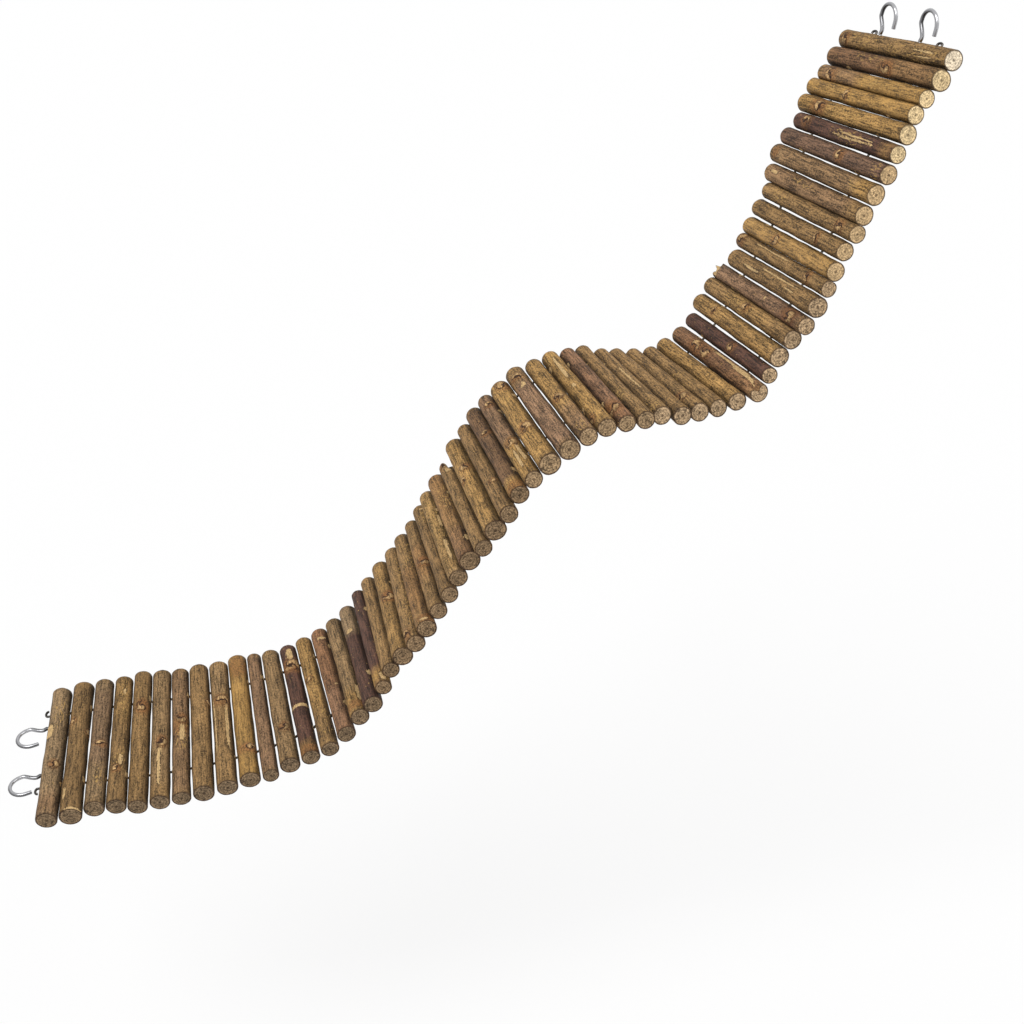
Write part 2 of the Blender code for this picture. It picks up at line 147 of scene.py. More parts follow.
# Marks on the bark: stick, kind, place from the front end and across the face that the
# photograph shows (-1 left edge, 1 right edge), length and width in stick diameters
MARKS = (
    (1, "knot", 0.37, 0.0, 0.76, 0.57), (1, "peel", 0.65, -0.8, 1.20, 0.50),
    (1, "flecks_and_glints", 0.80, 0.2, 2.0, 0.8), (2, "knot", 0.68, -0.8, 0.70, 0.50),
    (2, "knot", 0.60, 0.85, 0.60, 0.50), (2, "peel", 0.13, -0.8, 1.00, 0.20),
    (2, "peel", 0.00, 0.1, 0.30, 0.90), (3, "knot", 0.46, 0.1, 0.50, 0.79),
    (3, "flecks_and_glints", 0.20, 0.3, 1.5, 0.6), (4, "flecks_and_glints", 0.82, 0.1, 2.6, 0.8),
    (4, "flecks_and_glints", 0.32, 0.0, 1.6, 0.7), (4, "peel", 0.31, 0.1, 0.90, 0.22),
    (4, "knot", 0.24, -0.3, 0.60, 0.50), (4, "peel", 0.87, 0.1, 0.50, 0.18),
    (5, "knot", 0.71, 0.0, 0.92, 0.64), (5, "rust", 0.71, 0.0, 1.4, 0.9),
    (6, "knot", 0.41, 0.1, 0.92, 0.71), (6, "peel", 0.24, -0.2, 3.4, 0.20),
    (7, "rust", 0.52, 0.0, 1.6, 1.0), (7, "knot", 0.58, 0.1, 0.80, 0.70),
    (7, "peel", 0.47, 0.1, 1.40, 0.24), (7, "flecks_and_glints", 0.45, 0.1, 3.0, 0.8),
    (8, "knot", 0.68, 0.85, 0.60, 0.50), (9, "knot", 0.66, 0.1, 0.92, 1.01),
    (9, "peel", 0.46, 0.45, 4.2, 0.20), (9, "peel", 0.44, -0.75, 4.8, 0.16),
    (10, "rust", 0.90, 0.0, 2.0, 1.2), (10, "rust", 0.20, 0.0, 0.8, 1.6),
    (10, "knot", 0.20, 0.5, 0.67, 0.71), (12, "knot", 0.27, 0.1, 0.84, 0.51),
    (13, "peel", 0.90, 0.1, 1.1, 0.35), (13, "knot", 0.80, 0.1, 1.18, 1.08),
    (13, "peel", 0.78, -0.2, 0.35, 0.55), (13, "peel", 0.42, 0.0, 0.30, 1.30),
    (13, "rust", 0.03, 0.0, 0.6, 2.2), (13, "rust", 0.80, 0.0, 1.4, 1.6),
    (14, "flecks_and_glints", 0.50, 0.1, 9.0, 0.45), (14, "knot", 0.60, -0.5, 0.59, 0.51),
    (15, "peel", 0.90, 0.2, 0.30, 0.50), (15, "peel", 0.42, 0.4, 0.14, 0.16),
    (16, "peel", 0.17, 0.55, 1.5, 0.28), (16, "rust", 0.06, 0.0, 0.8, 1.6),
    (17, "peel", 0.72, -0.4, 0.40, 0.45), (19, "peel", 0.27, -0.3, 0.16, 0.16),
    (18, "peel", 0.05, 0.3, 0.8, 0.35), (20, "knot", 0.58, 0.1, 1.18, 0.79),
    (20, "rust", 0.58, 0.1, 1.3, 1.0), (21, "flecks_and_glints", 0.60, 0.3, 6.0, 0.50),
    (21, "flecks_and_glints", 0.25, 0.2, 3.0, 0.7), (21, "knot", 0.05, -0.7, 1.01, 0.51),
    (22, "flecks_and_glints", 0.75, 0.2, 4.0, 0.7), (22, "rust", 0.03, 0.2, 0.8, 1.4),
    (22, "peel", 0.02, 0.0, 0.25, 0.5), (23, "knot", 0.48, 0.1, 1.01, 0.79),
    (23, "rust", 0.48, 0.1, 1.2, 0.9), (24, "peel", 0.95, 0.1, 0.25, 0.25),
    (24, "flecks_and_glints", 0.85, 0.0, 1.5, 0.8), (25, "peel", 0.25, 0.1, 2.6, 0.20),
    (25, "flecks_and_glints", 0.60, 0.1, 5.0, 0.8), (25, "peel", 0.60, 0.4, 1.6, 0.14),
    (26, "flecks_and_glints", 0.70, 0.0, 3.0, 0.8), (27, "notch", 1.00, 0.70, 2.00, 0.90),
    (27, "peel", 0.93, 0.0, 1.1, 0.45), (27, "knot", 0.97, -0.3, 0.84, 0.71),
    (28, "knot", 0.64, 0.0, 0.84, 0.71), (28, "knot", 0.53, -0.7, 0.76, 0.57),
    (29, "knot", 0.30, 0.1, 0.50, 0.44), (30, "knot", 0.67, 0.1, 0.59, 0.64),
    (30, "peel", 0.67, 0.0, 0.18, 0.35), (30, "rust", 0.03, 0.0, 0.9, 1.8),
    (31, "knot", 0.87, 0.1, 0.84, 0.64), (31, "knot", 0.37, 0.0, 1.01, 0.79),
    (31, "peel", 0.24, 0.4, 2.2, 0.22), (31, "peel", 0.18, -0.2, 2.2, 0.16),
    (31, "flecks_and_glints", 0.22, 0.0, 2.6, 1.2), (32, "knot", 0.93, 0.4, 1.18, 0.79),
    (32, "knot", 0.37, 0.0, 1.01, 0.93), (32, "flecks_and_glints", 0.75, 0.1, 1.6, 0.5),
    (33, "knot", 0.87, 0.0, 0.84, 0.79), (33, "peel", 0.76, 0.2, 0.60, 0.22),
    (33, "peel", 0.74, -0.1, 0.30, 0.16), (34, "knot", 0.45, 0.0, 0.76, 0.71),
    (34, "flecks_and_glints", 0.05, 0.2, 1.2, 0.8), (35, "peel", 0.75, 0.3, 3.0, 0.20),
    (35, "peel", 0.50, 0.2, 0.4, 0.18), (35, "knot", 0.10, -0.7, 0.84, 0.57),
    (35, "flecks_and_glints", 0.92, 0.0, 1.2, 1.0), (36, "stub", 0.13, -0.1, 1.00, 0.95),
    (36, "rust", 0.16, 0.0, 1.2, 1.4), (37, "flecks_and_glints", 0.30, 0.1, 1.5, 0.9),
    (38, "flecks_and_glints", 0.08, 0.1, 1.2, 0.9), (38, "peel", 0.50, 0.6, 4.0, 0.10),
    (40, "knot", 0.17, 0.0, 0.95, 0.85), (41, "flecks_and_glints", 0.35, 0.2, 0.8, 0.7),
    (41, "flecks_and_glints", 0.50, 0.1, 0.8, 0.7), (43, "notch", 0.00, 0.50, 1.60, 0.75),
    (43, "peel", 0.32, 0.75, 5.0, 0.18), (43, "knot", 0.72, 0.1, 1.20, 0.90),
    (43, "knot", 0.58, 0.2, 1.10, 0.80), (43, "rust", 0.68, 0.2, 1.4, 1.0),
    (43, "peel", 0.17, 0.6, 2.6, 0.22), (44, "knot", 0.42, 0.1, 0.84, 0.64),
    (45, "knot", 0.75, 0.1, 0.42, 0.71), (46, "flecks_and_glints", 0.60, 0.0, 4.0, 0.8),
    (46, "knot", 0.49, 0.1, 0.76, 0.57), (47, "notch", 1.00, -0.20, 0.60, 0.35),
    (47, "notch", 1.00, 0.75, 0.80, 0.35), (47, "peel", 0.97, 0.0, 0.6, 0.8),
    (47, "knot", 0.12, 0.0, 1.34, 0.86), (47, "peel", 0.40, 0.2, 0.20, 0.16),
    (48, "peel", 0.40, 0.5, 4.0, 0.12), (48, "peel", 0.70, -0.1, 2.0, 0.12),
    (48, "peel", 0.24, 0.0, 0.9, 0.10), (49, "peel", 0.60, 0.5, 4.0, 0.12),
    (49, "knot", 0.17, 0.0, 0.59, 0.86), (49, "knot", 0.95, 0.0, 0.84, 0.86),
    (50, "knot", 0.60, 0.0, 0.76, 0.71), (51, "knot", 0.23, 0.0, 0.47, 0.71),
    (51, "peel", 0.23, 0.0, 0.12, 0.36), (52, "knot", 0.12, 0.0, 0.84, 0.71),
    (52, "flecks_and_glints", 0.80, 0.0, 1.6, 0.8), (53, "peel", 0.90, 0.2, 0.9, 0.16),
    (53, "flecks_and_glints", 0.55, 0.3, 2.5, 0.5), (54, "rust", 0.95, 0.1, 0.7, 1.0),
    (54, "flecks_and_glints", 0.15, 0.2, 1.2, 0.6), (55, "knot", 0.40, 0.1, 0.76, 0.71),
    (55, "rust", 0.40, 0.1, 1.0, 0.8), (55, "flecks_and_glints", 0.06, 0.0, 0.8, 1.0),
    (56, "peel", 0.35, 0.3, 3.4, 0.12), (56, "peel", 0.42, -0.1, 3.6, 0.10),
    (56, "peel", 0.24, 0.0, 1.6, 0.12), (56, "knot", 0.87, 0.2, 0.92, 0.79),
    (56, "flecks_and_glints", 0.40, 0.1, 4.0, 0.7), (57, "knot", 0.78, 0.1, 1.01, 0.86),
    (57, "rust", 0.80, 0.0, 1.5, 1.2), (57, "flecks_and_glints", 0.50, 0.1, 3.0, 0.7),
    (58, "knot", 0.60, 0.0, 0.50, 0.86), (58, "flecks_and_glints", 0.70, 0.3, 2.0, 0.6),
    (59, "knot", 0.87, 0.0, 1.01, 1.01), (59, "flecks_and_glints", 0.40, 0.2, 3.0, 0.6),
    (60, "knot", 0.42, 0.0, 1.01, 0.79), (60, "rust", 0.42, 0.0, 1.5, 1.0),
    (60, "flecks_and_glints", 0.60, 0.6, 3.0, 0.5), (61, "knot", 0.93, 0.1, 0.84, 0.79),
    (61, "peel", 0.20, 0.3, 2.0, 0.14), (61, "peel", 0.18, -0.2, 1.4, 0.10),
    (61, "flecks_and_glints", 0.30, 0.0, 5.0, 0.9), (61, "flecks_and_glints", 0.75, 0.2, 3.0, 0.9),
)

# Wood of the sawn ends, which is fresher towards the top: the last stick of each stretch, and its colour
FACE_STRETCHES = (
    (17, "brown"), (30, "dun"), (37, "drab"), (49, "tan"), (55, "light"), (60, "cream"), (61, "white"),
)
FRESH_WOODS = ("light", "cream", "white")

# How strong cracks and stains are on a sawn end, and what share of that a fresh one shows
SAWN_CONTRAST = 1.25
FRESH_WEAR = 0.75

# How the grain of each bark differs: strength of its fibres, its speckle and its roughness
BARK_GRAINS = {
    "olive": (2.10, 2.30, 0.74),
    "golden": (1.70, 1.60, 0.60),
    "purple": (1.90, 1.90, 0.70),
    "red": (1.90, 2.20, 0.74),
    "grey": (2.00, 2.50, 0.82),
}

# How strong a stick's grain is and how bright its bark, from the lowest stick to the uppermost
COARSE_SHARES = (1.35, 1.45, 1.55, 1.7, 1.8, 1.8, 1.85)
BRIGHT_SHARES = (0.90, 1.05, 1.07, 1.13, 1.10, 1.05, 1.02)

# How far chance makes one stick's bark and sawn ends darker or brighter than the next one's
BARK_BRIGHT_RANGE = (0.92, 1.08)
FACE_BRIGHT_RANGE = (0.92, 1.1)

# Slow change of brightness along a stick: its strength, and its waves from end to end
DRIFT = 0.07
DRIFT_WAVES = 1.3

# How softly one colour passes into the next along a stick, as a share of its length
ZONE_SOFTNESS = 0.10

# Unevenness of a stick's radius: waves from end to end, and how often each may wind round it
SWELL_WAVES = (1, 2, 3, 5)
SWELL_TURNS = (0, 1, 2)

# How close together the ridges of the bark lie, round a stick and along it
RIDGE_ROUND = 3.2
RIDGE_ALONG = 1.3

# Reflection of bark and sawn wood, which are duller than a smooth surface
BARK_SHEEN = 0.22

# Depth of the finest grain, in metres
BARK_GRAIN_DEPTH = 0.00025
SAWN_GRAIN_DEPTH = 0.0004
SCRATCH_DEPTH = 0.00003

# Where each stick's grain and the pattern of its sawn ends start, so that no two are alike
GRAIN_STEP = (0.031, 0.113, 0.017)
FACE_STEP = 1.7

# How far the shape of each kind of mark stands out of the bark, in stick diameters
KNOT_RISE = 0.078
KNOT_GROOVE = 0.035
STUB_RISE = 0.150
STUB_HOLLOW = 0.160
PEEL_DEPTH = 0.016
PEEL_LIP = 0.010
NOTCH_DEPTH = 0.400

# How far the colour of a mark is worked out, where 1 is its edge
KNOT_REACH = 2.0
FLECK_AND_GLINT_REACH = 1.6
PATCH_REACH = 1.5

# Chipped bark round the wires' holes: how wide, how much that varies, and what share of the holes has it
CHIP_REACH = 0.0020
CHIP_SIZE_SHARES = (0.6, 1.5)
CHIP_CHANCE = 0.6

# Each mark is turned on from the last by this angle, so that no two knots look alike
MARK_TURN = math.radians(137.5)

# How far the two sides of a knot curl round its heart, and where its groove lies between them
KNOT_CURL = math.radians(150)
GROOVE_LEAN = -0.15

# Least gap between the bark of two neighbours, wherever the bend between them stands, and the
# rounds of trimming that bring the bark there
BARK_GAP = 0.00005
TRIM_ROUNDS = 4

# Rings of a sawn end as shares of its radius, outermost first, and where its bark starts
CUT_RING_SHARES = (0.90, 0.72, 0.50, 0.28, 0.12)
BARK_RING_SHARE = 0.92

# Edges that stay sharp under smooth shading
SHARP_STICK_EDGE = math.radians(50)
SHARP_WIRE_EDGE = math.radians(60)

# How finely wires are modelled: steps from one given point to the next, and corners round
WIRE_STEPS, WIRE_SIDES = 5, 10
END_STEPS, END_SIDES = 4, 12
HOOK_STEPS, HOOK_SIDES = 6, 20

# Points given on the half turn of a wire's end, and on the bow of a hook
CURL_POINTS = 8
BOW_POINTS = 14

# Points given on a hook: along its screw, and along its stem with the sway there
SCREW_SHARES = (1.0, 0.66, 0.33, 0.0)
STEM_SHARES = ((0.1, 0.0), (0.3, 1.0), (0.6, 0.5))

# Where the thread ends, as a share of the screw
THREAD_SHARE = 1.15

# How far the tip of a bent-over end stands off the bark, as a share of the wire's diameter
CURL_TIP_SHARE = 0.75

# How far the end of a wire bulges, as a share of its radius, and how little the way along it counts
# in its scratches, which run lengthwise
WIRE_BULGE_SHARE = 0.3
SCRATCH_SHARE = 0.1

# How the two lamps are turned, in degrees, and how wide they look from the bridge
MAIN_LAMP_TURN = (38, 0, -28)
SECOND_LAMP_TURN = (55, 0, 70)
LAMP_WIDTH = math.radians(40)
SENSOR_WIDTH = 36
FLOOR_GREY = 0.86
FLOOR_ROUGHNESS = 0.9


def paint(red, green, blue):
    """A colour from the numbers that a picture editor shows, as the linear values that Blender takes."""
    return tuple(((value / 255 + 0.055) / 1.055) ** 2.4 for value in (red, green, blue))


def colour(name, description, value):
    return FloatVectorProperty(
        name=name, description=description, subtype="COLOR", size=3, min=0, max=1, default=value
    )


def amount(name, description, value, **settings):
    return FloatProperty(name=name, description=description, default=value, **settings)


def length(name, description, value):
    return amount(name, description, value, min=0, precision=5, subtype="DISTANCE", unit="LENGTH")


def angle(name, description, degrees):
    return amount(name, description, math.radians(degrees), subtype="ANGLE")


class BridgeSticks(PropertyGroup):
    """How finely the sticks are modelled, and how far they stray from plain rods."""

    sides: IntProperty(name="Sides", description="Corners round a stick", default=36, min=12)
    rings: IntProperty(name="Rings", description="Rings along a stick's bark", default=128, min=20)
    chamfer: length("Worn edge", "Width of the worn edge round a sawn end", 0.00022)
    bow: length("Bow", "How far a stick curves out of the straight, up or down", 0.0004)
    plump: amount("Bark", "Radius of the bark, as a share of the packed stick's", 1.012)
    lump: amount("Lumps", "Unevenness of the radius, as a share of it", 0.016)
    ridge: length("Ridges", "Height of the ridges along the bark", 0.00009)
    saw: length("Saw marks", "Unevenness of a sawn end", 0.00007)
    tilt: angle("Saw tilt", "How far a sawn end can lean", 2.5)


class BridgeColours(PropertyGroup):
    """Colours of bark, bare wood and sawn ends."""

    olive: colour("Olive bark", "The usual bark", paint(125, 98, 63))
    golden: colour("Golden bark", "Light smooth bark", paint(151, 117, 66))
    purple: colour("Purple bark", "Dark purple brown bark", paint(80, 56, 45))
    mauve: colour("Mauve bark", "Grey purple brown bark", paint(116, 90, 70))
    red: colour("Red bark", "Red brown bark", paint(118, 86, 60))
    grey: colour("Grey bark", "Grey brown bark", paint(132, 109, 80))
    rust: colour("Rusty bark", "Orange brown bark round knots", paint(134, 92, 54))
    bare: colour("Bare wood", "Wood under a peel or in a scratch", paint(208, 174, 122))
    # Pale flecks of the bark, partly painted glints
    fleck: colour("Fleck", "Small glints in the bark", paint(184, 148, 88))
    # Dark colour of knots, of the bark in a sawn end and of the pith, also used for painted shadow round
    # peels and painted shade on sticks 24 and 29
    scar: colour("Scar", "Dark heart and rim of a knot", paint(44, 27, 18))
    brown_end: colour("Brown end", "Oldest sawn end", paint(118, 98, 74))
    dun_end: colour("Dun end", "Old sawn end", paint(127, 104, 77))
    drab_end: colour("Drab end", "Darker sawn end", paint(148, 123, 92))
    tan_end: colour("Tan end", "The usual sawn end", paint(168, 142, 110))
    light_end: colour("Light end", "Fresher sawn end", paint(195, 165, 123))
    cream_end: colour("Cream end", "Fresh sawn end", paint(216, 190, 145))
    white_end: colour("White end", "Freshest sawn end", paint(232, 214, 186))


class BridgeHardware(PropertyGroup):
    """Wires and screw hooks."""

    wire: length("Wire", "Diameter of the two long wires", 0.0012)
    wire_spacing: length("Wire spacing", "From one long wire to the other", 0.052)
    curl_height: length("Curl height", "How far a bent-over wire end stands off its stick", 0.0016)
    curl_width: length("Curl width", "Width of a bent-over wire end", 0.0036)
    hook_wire: length("Hook wire", "Diameter of the hooks' wire", 0.0019)
    hook_spacing: length("Hook spacing", "Between the two hooks of an end stick", 0.034)
    screw: length("Screw", "Length of the hook's screw in the wood", 0.0042)
    thread: length("Thread", "Depth of the screw's thread", 0.0002)
    pitch: length("Pitch", "From one turn of the thread to the next", 0.0010)
    stem: length("Stem", "From the bark to the hook's bow", 0.0085)
    sway: length("Sway", "How far the stem swings out under the bow", 0.0010)
    bow: length("Bow radius", "Radius of the hook's bow, to the wire's middle", 0.0063)
    tip: length("Tip", "Straight end of the hook", 0.0030)
    sweep: angle("Sweep", "How far round the bow goes", 195)
    upper_lean: angle("Upper lean", "How far the upper hooks lean out of the deck", 35)
    steel: colour("Hook steel", "Zinc plated steel", (0.30, 0.30, 0.31))
    drawn: colour("Wire steel", "Drawn steel wire", (0.13, 0.12, 0.11))


class BridgeStage(PropertyGroup):
    """Camera, lamps and floor."""

    camera: FloatVectorProperty(
        name="Camera",
        description="Place of the camera",
        default=(-0.1824, -0.8340, 0.1475),
        subtype="TRANSLATION",
    )
    tilt: angle("Tilt", "How far the camera looks down", 25.83)
    lens: amount("Lens", "Focal length in millimetres", 62.49, subtype="DISTANCE_CAMERA")
    key: amount("Main lamp", "Strength of the lamp from the upper left", 2.2)
    fill: amount("Second lamp", "Strength of the lamp from the right", 0.5)
    sky: amount("Sky", "Strength of the light from all round", 0.50)
    floor: length("Floor size", "Side of the floor", 12.0)
    drop: length("Floor gap", "Height of the lowest stick above the floor, which no bend reaches", 0.20)
    shadow: amount("Shadow", "Share of the floor's own shading that shows", 0.25)


class Stick:
    """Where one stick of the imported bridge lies: X along the deck, Y to its back end, Z out of the deck."""

    def __init__(self, number, node, front, back, radii):
        self.number = number
        self.node = node
        self.body = frame["nodes"][node]["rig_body"]
        self.bark = BARK_OF_STICK.get(number, "olive")
        self.ends = (front, back)
        self.y = (back - front) / np.linalg.norm(back - front)
        self.radii = radii
        self.radius = sum(radii) / 2

    def settle(self, pivot, sign):
        """Centre and turn from the bend in the gap above (sign 1) or below (sign -1) the stick."""
        front, back = self.ends
        self.centre = front + ((pivot - front) @ self.y) * self.y
        self.x = (pivot - self.centre) * sign
        self.x /= np.linalg.norm(self.x)
        self.z = np.cross(self.x, self.y)
        self.front = (front - self.centre) @ self.y
        self.back = (back - self.centre) @ self.y

    def show_marks_to(self, camera):
        """Finds the angle from the crown, towards the stick above, to the side that faces the camera."""
        sight = np.array(camera) - self.centre
        self.facing = math.atan2(sight @ self.x, sight @ self.z)

    def place(self):
        turn = Matrix((self.x, self.y, self.z)).transposed()
        return Matrix.Translation(self.centre) @ turn.to_4x4()

    def point(self, along_deck, along_stick, out):
        """A point given in the stick's own directions, in the row frame."""
        return Vector(self.centre + along_deck * self.x + along_stick * self.y + out * self.z)

    def shares(self, heights):
        """Places along the stick as shares of its length, from its front end."""
        return (heights - self.front) / (self.back - self.front)

    def way_round(self, turn):
        """The shortest way round the bark for an angle."""
        return self.radius * (turn - 2 * math.pi * np.round(turn / (2 * math.pi)))


def node_points(name):
    """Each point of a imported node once, in the row frame."""
    mesh = frame["nodes"][name].data
    points = np.zeros(len(mesh.vertices) * 3)
    mesh.vertices.foreach_get("co", points)
    return np.unique(points.reshape(-1, 3).round(6), axis=0)


def circle_through(flat):
    """Centre and radius of the circle that lies nearest to flat points."""
    rows = np.column_stack([flat, np.ones(len(flat))])
    found = np.linalg.lstsq(rows, (flat**2).sum(1), rcond=None)[0]
    centre = found[:2] / 2
    return centre, math.sqrt(found[2] + centre @ centre)


def sawn_end(points, across, along, sign):
    """Centre and radius of a stick's front (sign -1) or back (sign 1) end."""
    out = np.cross(across, along)
    heights = points @ along * sign
    cap = points[heights > heights.max() - END_DEPTH]
    centre, radius = circle_through(np.column_stack([cap @ across, cap @ out]))
    return centre[0] * across + centre[1] * out + heights.max() * sign * along, radius


def read_sticks():
    """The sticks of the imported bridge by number, from their nodes and the bends between them."""
    pivots = {gap: np.array(joint["pos_m"]) for gap, joint in BENDS.items()}
    sticks = {}
    for name in sorted(frame["nodes"]):
        if not name.startswith("stick"):
            continue
        numbers = [int(number) for number in name.split("_")[1:]]
        points = node_points(name)
        below, above = pivots.get(numbers[0] - 1), pivots.get(numbers[-1])
        along = np.linalg.svd(points - points.mean(0), full_matrices=False)[2][0]
        along *= np.sign(along[1])
        low = points.mean(0) if below is None else below
        high = points.mean(0) if above is None else above
        across = (high - low) - ((high - low) @ along) * along
        across /= np.linalg.norm(across)
        side = (points - (low + high) / 2) @ across
        for number in numbers:
            own = points
            if len(numbers) > 1:
                own = points[side < -JOIN_MARGIN] if number == numbers[0] else points[side > JOIN_MARGIN]
            front, front_radius = sawn_end(own, across, along, -1)
            back, back_radius = sawn_end(own, across, along, 1)
            stick = Stick(number, name, front, back, (front_radius, back_radius))
            if number == numbers[-1] and above is not None:
                stick.settle(above, 1)
            else:
                stick.settle(below, -1)
            sticks[number] = stick
    return sticks


# The bends by the number of the stick below each, and the sticks by their own number
BENDS = {int(joint["name"].split("_")[1]): joint for joint in frame["joints"]}
STICKS = read_sticks()
DIAMETER = 2 * sum(stick.radius for stick in STICKS.values()) / len(STICKS)


def neighbour_lines(stick):
    """Axes of the sticks next to one, at rest and at both limits of the bend between, with their radii."""
    lines = []
    below, above = stick.number - 1, stick.number + 1
    for number, gap, sign in ((below, below, 1), (above, stick.number, -1)):
        if number not in STICKS:
            continue
        front, back = (Vector(end) for end in STICKS[number].ends)
        radius = STICKS[number].radius
        lines.append((np.array(front), np.array((back - front).normalized()), radius))
        if gap not in BENDS:
            continue
        pivot, axis = Vector(BENDS[gap]["pos_m"]), Vector(BENDS[gap]["axis"])
        for limit in BENDS[gap]["range_deg"]:
            turn = Matrix.Rotation(sign * math.radians(limit), 3, axis)
            start, along = turn @ (front - pivot) + pivot, turn @ (back - front)
            lines.append((np.array(start), np.array(along.normalized()), radius))
    return lines


def along_bridge(number, shares):
    """A stick's own value from a table that goes from the lowest stick to the uppermost."""
    return np.interp((number - 1) / (len(STICKS) - 1), np.linspace(0, 1, len(shares)), shares)


class Recipe:
    """The node tree of a material or of the sky, put together node by node."""

    def __init__(self, owner):
        owner.use_nodes = True
        self.tree = owner.node_tree
        self.nodes = self.tree.nodes

    def feed(self, socket, value):
        if isinstance(value, bpy.types.NodeSocket):
            self.tree.links.new(value, socket)
        else:
            socket.default_value = value

    def complete(self, node, inputs):
        """Feeds a node that the tree had from the start."""
        for socket, value in inputs.items():
            self.feed(self.nodes[node].inputs[socket], value)

    def add(self, kind, inputs, output=0, **settings):
        """A node with its settings and its inputs, by name or place. Gives one of its outputs."""
        node = self.nodes.new("ShaderNode" + kind)
        for setting, value in settings.items():
            setattr(node, setting, value)
        for socket, value in inputs.items():
            self.feed(node.inputs[socket], value)
        return node.outputs[output]

    def attribute(self, name, output="Fac"):
        return self.add("Attribute", {}, output, attribute_name=name)

    def math(self, operation, first, *others):
        """One sum for each further value, on what the last one gave."""
        for other in others:
            first = self.add("Math", {0: first, 1: other}, operation=operation)
        return first

    def total(self, *values):
        return self.math("ADD", *values)

    def product(self, *values):
        return self.math("MULTIPLY", *values)

    def vector(self, operation, first, second):
        return self.add("VectorMath", {0: first, 1: second}, operation=operation)

    def noise(self, place, scale, detail=2.0, roughness=0.5, stretch=None):
        """Noise at a place, drawn out along the sticks by a small stretch."""
        if stretch:
            place = self.vector("MULTIPLY", place, (1.0, stretch, 1.0))
        inputs = {"Vector": place, "Scale": scale, "Detail": detail, "Roughness": roughness}
        return self.add("TexNoise", inputs)

    def swing(self, value, strength):
        """A value between 0 and 1 as a change both ways from none."""
        return self.product(self.math("SUBTRACT", value, 0.5), strength)

    def between(self, value, low, high, to_low=0.0, to_high=1.0):
        """Maps low to high onto another range, smoothly and without leaving it."""
        inputs = {"Value": value, "From Min": low, "From Max": high, "To Min": to_low, "To Max": to_high}
        return self.add("MapRange", inputs, interpolation_type="SMOOTHSTEP")

    def mix(self, share, first, second):
        return self.add("Mix", {0: share, 6: first, 7: second}, 2, data_type="RGBA")

    def scale(self, tone, factor):
        return self.add("VectorMath", {0: tone, "Scale": factor}, operation="SCALE")

    def bump(self, height, distance, strength=1.0):
        return self.add("Bump", {"Height": height, "Distance": distance, "Strength": strength})


def solid(value):
    return (*value, 1.0)


